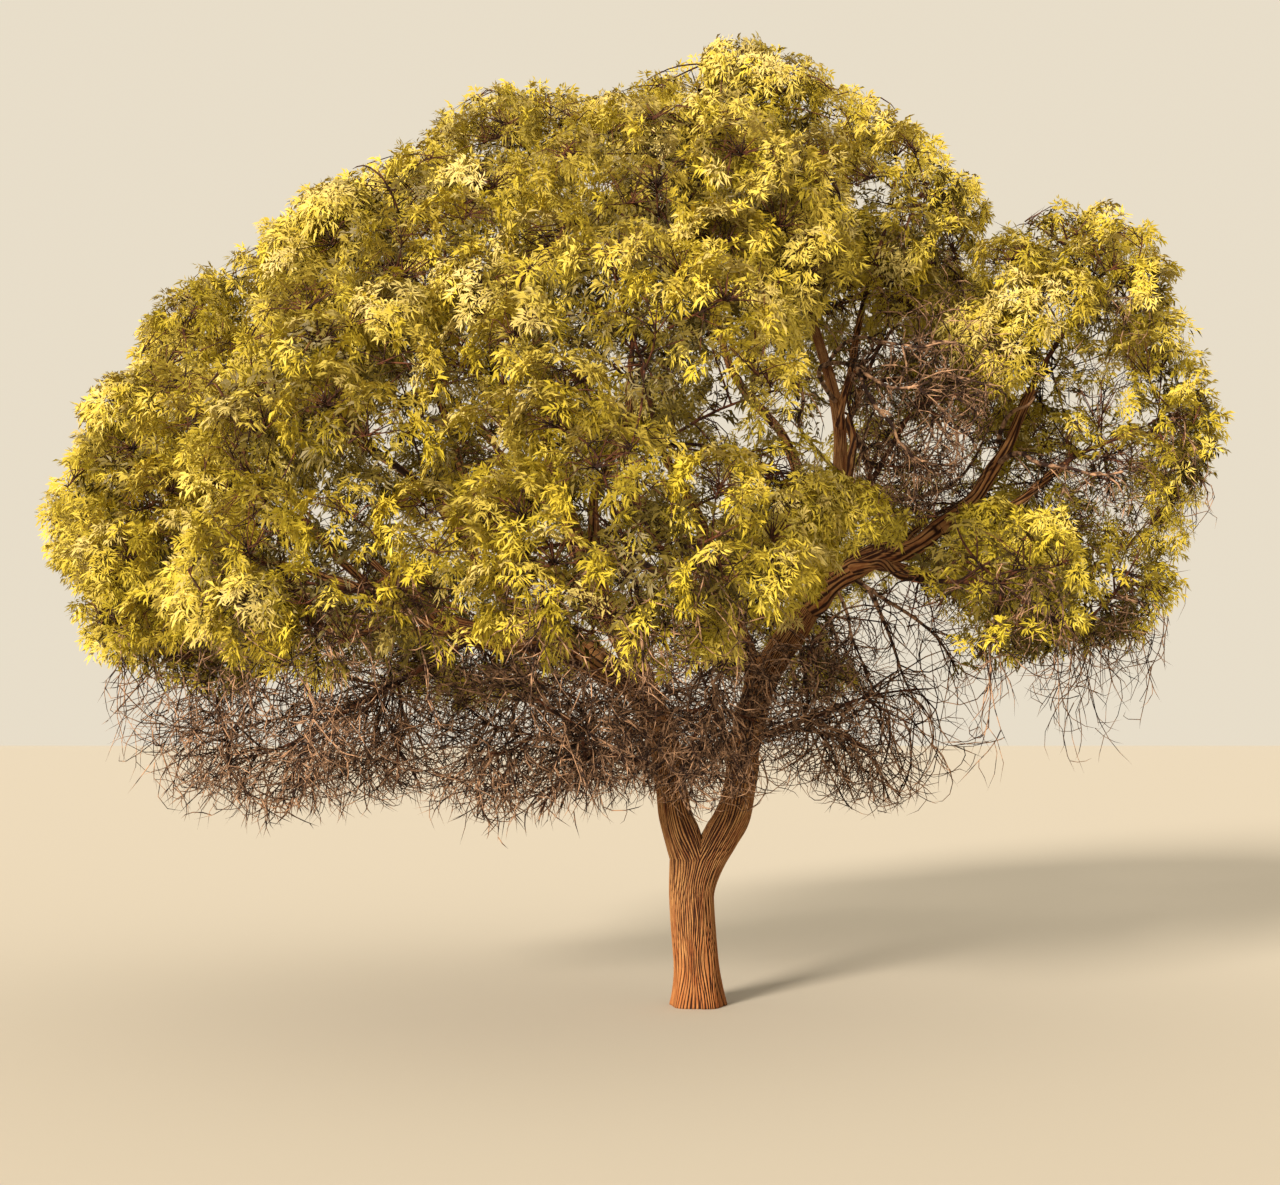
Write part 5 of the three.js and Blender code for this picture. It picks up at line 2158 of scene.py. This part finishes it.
class Tint(Enum):
    """The tints of the leaves, each a plain colour dealt out by spray, from painted sunlight to painted
    shade.
    """

    GOLD = "leaves_painted_sunniest"
    BRIGHT = "leaves_painted_sunlit"
    OLIVE = "leaves_painted_half_shade"
    GREEN = "leaves_painted_shade"
    DEEP = "leaves_painted_deep_shade"


@dataclass(frozen=True)
class Leaf:
    """A feathery leaf of narrow leaflets in pairs on an arching stalk, with one at its tip."""

    pairs: int = 3
    long: float = 0.055
    leaflet_long: float = 0.052
    leaflet_wide: float = 0.0105
    belly: float = 0.42  # where along a leaflet it is widest
    spread: float = 1.05
    droop: float = 0.3
    untidy: float = 0.45  # how much each leaflet's direction wanders
    twist: float = 0.8  # how far each leaflet is turned about its own length
    domed: float = 0.68  # how much leaflets are shaded as their tuft is, because light shines through them
    pairs_from: float = 0.25  # where along the stalk the first pair stands
    pairs_over: float = 0.62  # the share of the stalk between the first pair and the last
    pair_long: float = 0.86  # the length of a leaflet at the ends of the stalk
    pair_longer: float = 0.18  # and how much more it is between them
    last_long: float = 0.9  # the length of the leaflet at the tip
    closing: float = 0.3  # how much less the pairs spread towards the tip
    sag: float = 0.16  # how much leaflets turn down
    tip_sag: float = 0.14  # how far their tips hang, as a share of their length
    vary: tuple[float, float] = (0.8, 1.15)

    def blades(
        self,
        feet: np.ndarray,
        ways: np.ndarray,
        looks: np.ndarray,
        rolls: np.ndarray,
        sizes: np.ndarray,
        rng: np.random.Generator,
    ) -> tuple[np.ndarray, np.ndarray, np.ndarray]:
        """Makes many leaves at once.

        Args:
            feet: Where each leaf grows.
            ways: The direction in which it leaves.
            looks: The direction that its face looks in.
            rolls: How far each is rolled away from that.
            sizes: How large each is, as a share of the full size.
            rng: The stream of numbers.

        Returns:
            The vertices, the triangles, and the directions that the vertices are shaded by.
        """
        count = len(feet)
        ahead = unit(ways)
        level = unit(np.cross(ahead, looks) + 1e-6)
        face = np.cross(level, ahead)
        side = np.cos(rolls)[:, None] * level + np.sin(rolls)[:, None] * face
        face = np.cross(side, ahead)
        size = sizes[:, None]
        places = []
        faces = []
        normals = []
        base = 0

        def stalk(share: float) -> np.ndarray:
            """Returns the point at a share of each leaf's stalk."""
            return feet + size * self.long * (ahead * share - UP * self.droop * share**2)

        leaflets = [(1.0, 0.0, self.last_long)]
        for pair in range(self.pairs):
            share = self.pairs_from + self.pairs_over * pair / max(1, self.pairs - 1)
            long = self.pair_long + self.pair_longer * math.sin(math.pi * (pair + 1) / (self.pairs + 1))
            turn = self.spread - self.closing * share
            leaflets += [(share, turn, long), (share, -turn, long)]
        for share, turn, long in leaflets:
            foot = stalk(share)
            tangent = unit(ahead - 2 * self.droop * share * UP)
            turns = turn + rng.normal(size=(count, 1)) * self.untidy
            way = unit(tangent * np.cos(turns) + side * np.sin(turns) - self.sag * UP)
            across = unit(np.cross(face, way))
            roll = rng.normal(size=(count, 1)) * self.twist
            across = across * np.cos(roll) + np.cross(way, across) * np.sin(roll)
            across *= np.where((np.cross(across, way) * looks).sum(axis=1, keepdims=True) < 0, -1, 1)
            normal = unit(np.cross(across, way)) * (1 - self.domed) + looks * self.domed
            normals.append(np.repeat(unit(normal)[:, None], 3, axis=1))
            reach = size * self.leaflet_long * long * rng.uniform(*self.vary, (count, 1))
            wing = across * size * self.leaflet_wide
            tip = foot + way * reach - UP * reach * self.tip_sag
            places.append(np.stack([foot, foot + way * reach * self.belly + wing, tip], axis=1))
            faces.append(np.array([[0, 1, 2]]) + base)
            base += 3
        numbered = np.concatenate(faces)[None] + (np.arange(count) * base)[:, None, None]
        return np.concatenate(places, axis=1), numbered, np.concatenate(normals, axis=1)


@dataclass
class Foliage:
    """The leaves, in tufts at the ends of shoots and spurs, sorted by spray into tints of painted light and
    shade.
    """

    growth: Growth
    each: int = 6  # leaves in a tuft
    inner_each: int = 3
    leaf: Leaf = Leaf()
    inner_leaf: Leaf = Leaf(long=0.075, leaflet_long=0.062, leaflet_wide=0.014)
    lean: tuple[float, float] = (0.15, 0.75)  # how far leaves turn out of the plane of their tuft's star
    uneven: float = 0.5  # how far they stray from their even places round it
    rise: float = 0.08  # how much they turn up
    behind: float = 0.03  # how far behind the tuft's tip they may grow
    roll: float = 0.55
    vary: tuple[float, float] = (0.78, 1.12)
    lit_tall: float = 2.6  # the height over the crown's heart at which tufts are lit most
    lit: float = 0.12  # how much of their shade that takes away
    # The share of the outer sprays in each tint, from the sunniest, painted palest, to the most shaded,
    # painted darkest
    shares: tuple[tuple[Tint, float], ...] = (
        (Tint.GOLD, 0.16),
        (Tint.BRIGHT, 0.32),
        (Tint.OLIVE, 0.3),
        (Tint.GREEN, 0.22),
    )

    def pieces(self, finishes: dict[Tint, bpy.types.Material]) -> list[bpy.types.Object]:
        """Makes the leaves of each tint, in pieces that keep under the most triangles.

        Args:
            finishes: What each tint is finished with.

        Returns:
            The pieces.
        """
        rng = np.random.default_rng(FIRST_SEED)
        outer = self.growth.outer
        tips = np.concatenate(outer.tips)
        headings = np.concatenate(outer.headings)
        # Painted light and shade: each spray is ranked by its share of shade, less for standing high in the
        # crown, and the tints are dealt out in that order
        height = np.clip((tips - HEART)[:, 2] / self.lit_tall, -1, 1)
        rank = np.concatenate(outer.shades) - self.lit * height
        order = np.argsort(np.argsort(rank)) / len(rank)
        made = []
        low = 0.0
        for tint, share in self.shares:
            chosen = (order >= low) & (order < low + share)
            low += share
            finish = finishes[tint]
            made += self.tufts(tint, self.leaf, self.each, tips[chosen], headings[chosen], finish, rng)
        inner = self.growth.inner
        tips = np.concatenate(inner.tips)
        headings = np.concatenate(inner.headings)
        # The inner leaves are all painted in deep shade
        finish = finishes[Tint.DEEP]
        made += self.tufts(Tint.DEEP, self.inner_leaf, self.inner_each, tips, headings, finish, rng)
        return made

    def tufts(
        self,
        tint: Tint,
        leaf: Leaf,
        each: int,
        tips: np.ndarray,
        headings: np.ndarray,
        material: bpy.types.Material,
        rng: np.random.Generator,
    ) -> list[bpy.types.Object]:
        """Makes the leaves of these tufts.

        Args:
            tint: Their tint.
            leaf: Their shape.
            each: The number of leaves in a tuft.
            tips: Where the tufts grow.
            headings: The direction in which each tuft faces.
            material: Their finish.
            rng: The stream of numbers.

        Returns:
            One piece, or more where they would be too many.
        """
        tuft = np.repeat(np.arange(len(tips)), each)
        heading = headings[tuft]
        side = unit(np.cross(heading, UP) + 1e-6)
        other = np.cross(heading, side)
        angle = np.tile(np.arange(each) * 2 * math.pi / each, len(tips))
        angle = angle + rng.uniform(-self.uneven, self.uneven, len(tuft))
        angle = angle + np.repeat(rng.random(len(tips)) * 2 * math.pi, each)
        angle = angle[:, None]
        lean = rng.uniform(*self.lean, (len(tuft), 1))
        ways = heading * lean + (np.cos(angle) * side + np.sin(angle) * other) + UP * self.rise
        feet = tips[tuft] - heading * rng.uniform(0, self.behind, (len(tuft), 1))
        rolls = rng.normal(size=len(tuft)) * self.roll
        sizes = rng.uniform(*self.vary, len(tuft))
        places, faces, normals = leaf.blades(feet, ways, heading, rolls, sizes, rng)
        parts = math.ceil(len(tuft) * faces.shape[1] / MOST_TRIANGLES)
        made = []
        for part, group in enumerate(np.array_split(np.arange(len(tuft)), parts)):
            surface = Surface(tint.value if parts == 1 else f"{tint.value}_{part + 1}")
            surface.add(places[group], faces[group] - faces[group[0]].min())
            made.append(surface.piece(material, normals=normals[group].reshape(-1, 3)))
        return made


def add_node(tree: bpy.types.NodeTree, kind: str, settings: dict, links: dict) -> bpy.types.Node:
    """Adds a shader node.

    Args:
        tree: The material's node tree.
        kind: The node's type.
        settings: Its properties, or its inputs' values where a key names an input.
        links: The sockets that feed its inputs, by the input's name or number.

    Returns:
        The node.
    """
    node = tree.nodes.new(kind)
    for name, value in settings.items():
        if name in node.inputs:
            node.inputs[name].default_value = value
        else:
            setattr(node, name, value)
    for name, socket in links.items():
        tree.links.new(socket, node.inputs[name])
    return node


def new_material(
    name: str, roughness: float, gloss: float = 0.5
) -> tuple[bpy.types.Material, bpy.types.NodeTree, bpy.types.Node]:
    """Starts a material.

    Args:
        name: Its name.
        roughness: How much its surface scatters the light.
        gloss: How strongly it reflects.

    Returns:
        The material, its node tree and its surface shader.
    """
    material = bpy.data.materials.new(name)
    material.use_nodes = True
    tree = material.node_tree
    shader = tree.nodes["Principled BSDF"]
    shader.inputs["Roughness"].default_value = roughness
    shader.inputs["Specular IOR Level"].default_value = gloss
    return material, tree, shader


def add_mix(
    tree: bpy.types.NodeTree, share: bpy.types.NodeSocket, under: bpy.types.NodeSocket, hex_colour: str
) -> bpy.types.NodeSocket:
    """Lays a colour over another.

    Args:
        tree: The material's node tree.
        share: How much the colour covers.
        under: What it is laid over.
        hex_colour: The colour, as an sRGB hex value.

    Returns:
        The mixed colour.
    """
    node = add_node(tree, "ShaderNodeMix", {"data_type": "RGBA"}, {"Factor": share, 6: under})
    node.inputs[7].default_value = linear(hex_colour)
    return node.outputs[2]


def set_ramp(node: bpy.types.Node, stops: list[tuple[float, str]]) -> None:
    """Gives a colour ramp its stops.

    Args:
        node: The ramp.
        stops: The place and sRGB hex colour of each stop.
    """
    ramp = node.color_ramp
    while len(ramp.elements) < len(stops):
        ramp.elements.new(1.0)
    for element, (place, colour) in zip(ramp.elements, stops):
        element.position = place
        element.color = linear(colour)


@dataclass(frozen=True)
class BarkFinish:
    """Corky bark of a living tree, split into long furrows as the trunk grew, and worn by sun and dust.

    It gives the eye tan ridges, furrows in nearly black painted shade, the ground's red dust near the foot,
    and no gloss.
    """

    ridge: str = "#ad804f"
    ridge_dark: str = "#784727"
    # Painted shade: the colour that the furrows are darkened to
    furrow_shade: str = "#2e1509"
    dust: str = "#a85821"
    dust_high: float = 0.75  # how far up the red dust of the ground colours it
    fibre: float = 0.011  # the width of a flake: a real one is 3 to 5 mm wide and is drawn coarser, to show
    lift: float = 0.006  # of a flake's edge: really about 2 mm, drawn higher to catch the light
    patch: float = 0.11  # the width of a patch of dust
    dustiest: float = 0.75  # how much of the dust's colour the foot takes on
    along: float = 0.16  # a flake's width, as a share of its length up the limb
    flake_detail: tuple[float, float] = (6.0, 0.68)  # how many finer layers it has, and how strong they are
    patch_detail: float = 3.0
    pale_from: tuple[float, float] = (0.36, 0.64)  # from the dark parts of the flakes to the pale ones
    furrow_shade_from: tuple[float, float] = (0.12, 0.62)  # from a furrow's upper edge to where its painted shade is darkest
    bump: float = 0.8
    roughness: float = 0.93
    gloss: float = 0.25

    def material(self) -> bpy.types.Material:
        """Makes the material.

        Returns:
            The material.
        """
        material, tree, shader = new_material("furrowed_bark", self.roughness, self.gloss)
        place = add_node(tree, "ShaderNodeAttribute", {"attribute_name": "straight"}, {})
        groove = add_node(tree, "ShaderNodeAttribute", {"attribute_name": "groove"}, {})
        stretch = add_node(
            tree, "ShaderNodeMapping", {"Scale": (1.0, 1.0, self.along)}, {"Vector": place.outputs["Vector"]}
        )
        layers, strong = self.flake_detail
        flakes = add_node(
            tree,
            "ShaderNodeTexNoise",
            {"Scale": 0.5 / self.fibre, "Detail": layers, "Roughness": strong},
            {"Vector": stretch.outputs["Vector"]},
        )
        patches = add_node(
            tree,
            "ShaderNodeTexNoise",
            {"Scale": 1 / self.patch, "Detail": self.patch_detail},
            {"Vector": place.outputs["Vector"]},
        )
        ridge = add_node(tree, "ShaderNodeValToRGB", {}, {"Fac": flakes.outputs["Fac"]})
        set_ramp(ridge, list(zip(self.pale_from, (self.ridge_dark, self.ridge))))
        high = add_node(tree, "ShaderNodeTexCoord", {}, {})
        parts = add_node(tree, "ShaderNodeSeparateXYZ", {}, {"Vector": high.outputs["Object"]})
        foot = add_node(
            tree,
            "ShaderNodeMapRange",
            {"From Min": 0.0, "From Max": self.dust_high, "To Min": self.dustiest, "To Max": 0.0},
            {"Value": parts.outputs["Z"]},
        )
        dusty = add_node(
            tree,
            "ShaderNodeMath",
            {"operation": "MULTIPLY"},
            {0: foot.outputs["Result"], 1: patches.outputs["Fac"]},
        )
        dust = add_mix(tree, dusty.outputs["Value"], ridge.outputs["Color"], self.dust)
        # Painted shade: the deeper a vertex lies in a furrow, the more of the dark furrow colour it takes
        furrow_shade_mask = add_node(tree, "ShaderNodeValToRGB", {}, {"Fac": groove.outputs["Fac"]})
        set_ramp(furrow_shade_mask, list(zip(self.furrow_shade_from, ("#000000", "#ffffff"))))
        colour = add_mix(tree, furrow_shade_mask.outputs["Color"], dust, self.furrow_shade)
        bump = add_node(
            tree,
            "ShaderNodeBump",
            {"Strength": self.bump, "Distance": self.lift},
            {"Height": flakes.outputs["Fac"]},
        )
        tree.links.new(colour, shader.inputs["Base Color"])
        tree.links.new(bump.outputs["Normal"], shader.inputs["Normal"])
        return material


@dataclass(frozen=True)
class TwigFinish:
    """Thin smooth bark of a living twig, or the bare wood of a dead one that sun and rain have bleached.

    It gives the eye no gloss, and its own tone in stretches along each twig, at random paler with painted
    sunlight and darker with painted shade.
    """

    name: str
    # The pale colour is the twig's own tone in painted sunlight, the dark one the same in painted shade
    pale_sunlit: str
    dark_shaded: str
    stretch: float = 0.07  # the length of a paler or darker stretch
    detail: tuple[float, float] = (3.0, 0.6)  # how many finer layers it has, and how strong they are
    pale_from: tuple[float, float] = (0.44, 0.64)  # from the stretches in painted shade to those in painted sunlight
    roughness: float = 0.85
    gloss: float = 0.3

    def material(self) -> bpy.types.Material:
        """Makes the material.

        Returns:
            The material.
        """
        material, tree, shader = new_material(self.name, self.roughness, self.gloss)
        place = add_node(tree, "ShaderNodeTexCoord", {}, {})
        layers, strong = self.detail
        noise = add_node(
            tree,
            "ShaderNodeTexNoise",
            {"Scale": 1 / self.stretch, "Detail": layers, "Roughness": strong},
            {"Vector": place.outputs["Object"]},
        )
        # Painted light: the noise lays stretches of painted sunlight and painted shade along the twigs at
        # random
        colour = add_node(tree, "ShaderNodeValToRGB", {}, {"Fac": noise.outputs["Fac"]})
        set_ramp(colour, list(zip(self.pale_from, (self.dark_shaded, self.pale_sunlit))))
        tree.links.new(colour.outputs["Color"], shader.inputs["Base Color"])
        return material


@dataclass(frozen=True)
class LeafFinish:
    """Leathery leaf with the thin coat of wax that it grows against drought.

    It gives the eye a soft, broad gloss and one plain tint for each spray, which paints that spray's light
    and shade. Its veins are too fine to show.
    """

    tint: Tint
    colour: str
    roughness: float = 0.5
    gloss: float = 0.32

    def material(self) -> bpy.types.Material:
        """Makes the material.

        Returns:
            The material.
        """
        material, _, shader = new_material(self.tint.value, self.roughness, self.gloss)
        shader.inputs["Base Color"].default_value = linear(self.colour)
        return material


# One leaf colour painted for light: palest, with a painted sheen, for the sunniest sprays, a little darker
# for shaded ones, much darker for inner leaves in deep shade
LEAF_FINISHES = (
    LeafFinish(Tint.GOLD, "#c3b064"),
    LeafFinish(Tint.BRIGHT, "#c2ae4a"),
    LeafFinish(Tint.OLIVE, "#c3ae39"),
    LeafFinish(Tint.GREEN, "#b9a631"),
    LeafFinish(Tint.DEEP, "#63551a"),
)


@dataclass
class Studio:
    """The floor, the light and the camera at the photograph's angle."""

    eye: Point = EYE
    look_up: float = 4.685  # degrees
    lens: float = 48.9  # in mm, as the sensor's width is
    sensor: float = 36.0
    sight: float = 600.0  # how far the camera sees
    sun_turn: float = -33.0  # degrees to the left of the view
    sun_high: float = 17.0
    sun_wide: float = 14.0  # degrees, for soft shadows
    sun_power: float = 6.7
    sun_colour: tuple[float, float, float] = (1.0, 0.89, 0.74)
    fill_colour: str = "#f3e8d3"
    fill_power: float = 0.9
    floor_half: float = 250.0
    floor_drop: float = 0.001  # below the foot's cut
    floor_colour: str = "#c8c0b2"
    floor_roughness: float = 0.9

    def build(self) -> None:
        """Sets up the floor, the camera, the key light and the fill."""
        bpy.ops.object.select_all(action="DESELECT")
        bpy.ops.mesh.primitive_plane_add(size=2 * self.floor_half, location=(0, 0, -self.floor_drop))
        floor = bpy.context.object
        floor.name = "floor"
        # Matt painted board: an even, pale ground without gloss
        material, _, shader = new_material("matt_painted_board", self.floor_roughness)
        shader.inputs["Base Color"].default_value = linear(self.floor_colour)
        floor.data.materials.append(material)
        bpy.ops.object.camera_add(
            location=self.eye, rotation=(math.radians(90 + self.look_up), 0, 0)
        )
        camera = bpy.context.object
        camera.data.lens = self.lens
        camera.data.sensor_width = self.sensor
        camera.data.clip_end = self.sight
        bpy.context.scene.camera = camera
        bpy.ops.object.light_add(
            type="SUN",
            rotation=(math.radians(90 - self.sun_high), 0, math.radians(self.sun_turn)),
        )
        sun = bpy.context.object
        sun.data.energy = self.sun_power
        sun.data.angle = math.radians(self.sun_wide)
        sun.data.color = self.sun_colour
        world = bpy.data.worlds.new("studio")
        world.use_nodes = True
        background = world.node_tree.nodes["Background"]
        background.inputs["Color"].default_value = linear(self.fill_colour)
        background.inputs["Strength"].default_value = self.fill_power
        bpy.context.scene.world = world
        bpy.context.scene.view_settings.view_transform = "Standard"


def hand_over(pieces: list[bpy.types.Object], nodes: list[str]) -> None:
    """Lets pieces ride on the tree's body, hides the nodes that they stand for, and reports their triangles.

    Args:
        pieces: The pieces.
        nodes: The nodes of the frame that they replace.
    """
    for piece in pieces:
        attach(piece, "root")
        if nodes:
            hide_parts(*nodes)
        log.info("%s: %d triangles", piece.name, len(piece.data.polygons))


def main() -> None:
    """Builds the tree and the studio."""
    logging.basicConfig(level=logging.INFO, format="%(message)s")
    Studio().build()
    skeleton = Skeleton()
    log.info("%d pads", sum(len(mass.twigs) for mass in skeleton.masses.values() if mass.leafy))
    bark_finish = BarkFinish().material()
    bark = Bark(skeleton)
    hand_over([bark.trunk_and_stems(bark_finish), bark.boughs(bark_finish)], [])
    # Dead wood: pale bleached wood in painted sunlight, and nearly black painted shade
    dead_finish = TwigFinish("dead_twig", "#b89070", "#26130b").material()
    limbs = DeadLimbs()
    dead_limbs = limbs.build(dead_finish)
    growth = Growth(skeleton)
    growth.grow()
    growth.twig_dead_limbs(limbs.along)
    leafy = [f"foliage_{mass.name}" for mass in skeleton.masses.values() if mass.leafy]
    bare = [mass.name for mass in skeleton.masses.values() if not mass.leafy]
    # Live twigs: reddish bark, paler in painted highlights and nearly black in painted shade inside the crown
    live_finish = TwigFinish("live_twig", "#633821", "#271208").material()
    coarse, *live = [
        bundle.surface.piece(live_finish) for bundle in (growth.coarse, growth.live, growth.bare)
    ]
    dead = [bundle.surface.piece(dead_finish) for bundle in (growth.dead, growth.hairs)]
    hand_over([coarse], leafy + bare)
    hand_over(live, leafy)
    hand_over([dead_limbs, *dead], bare)
    finishes = {finish.tint: finish.material() for finish in LEAF_FINISHES}
    hand_over(Foliage(growth).pieces(finishes), leafy)


if __name__ == "__main__":
    main()
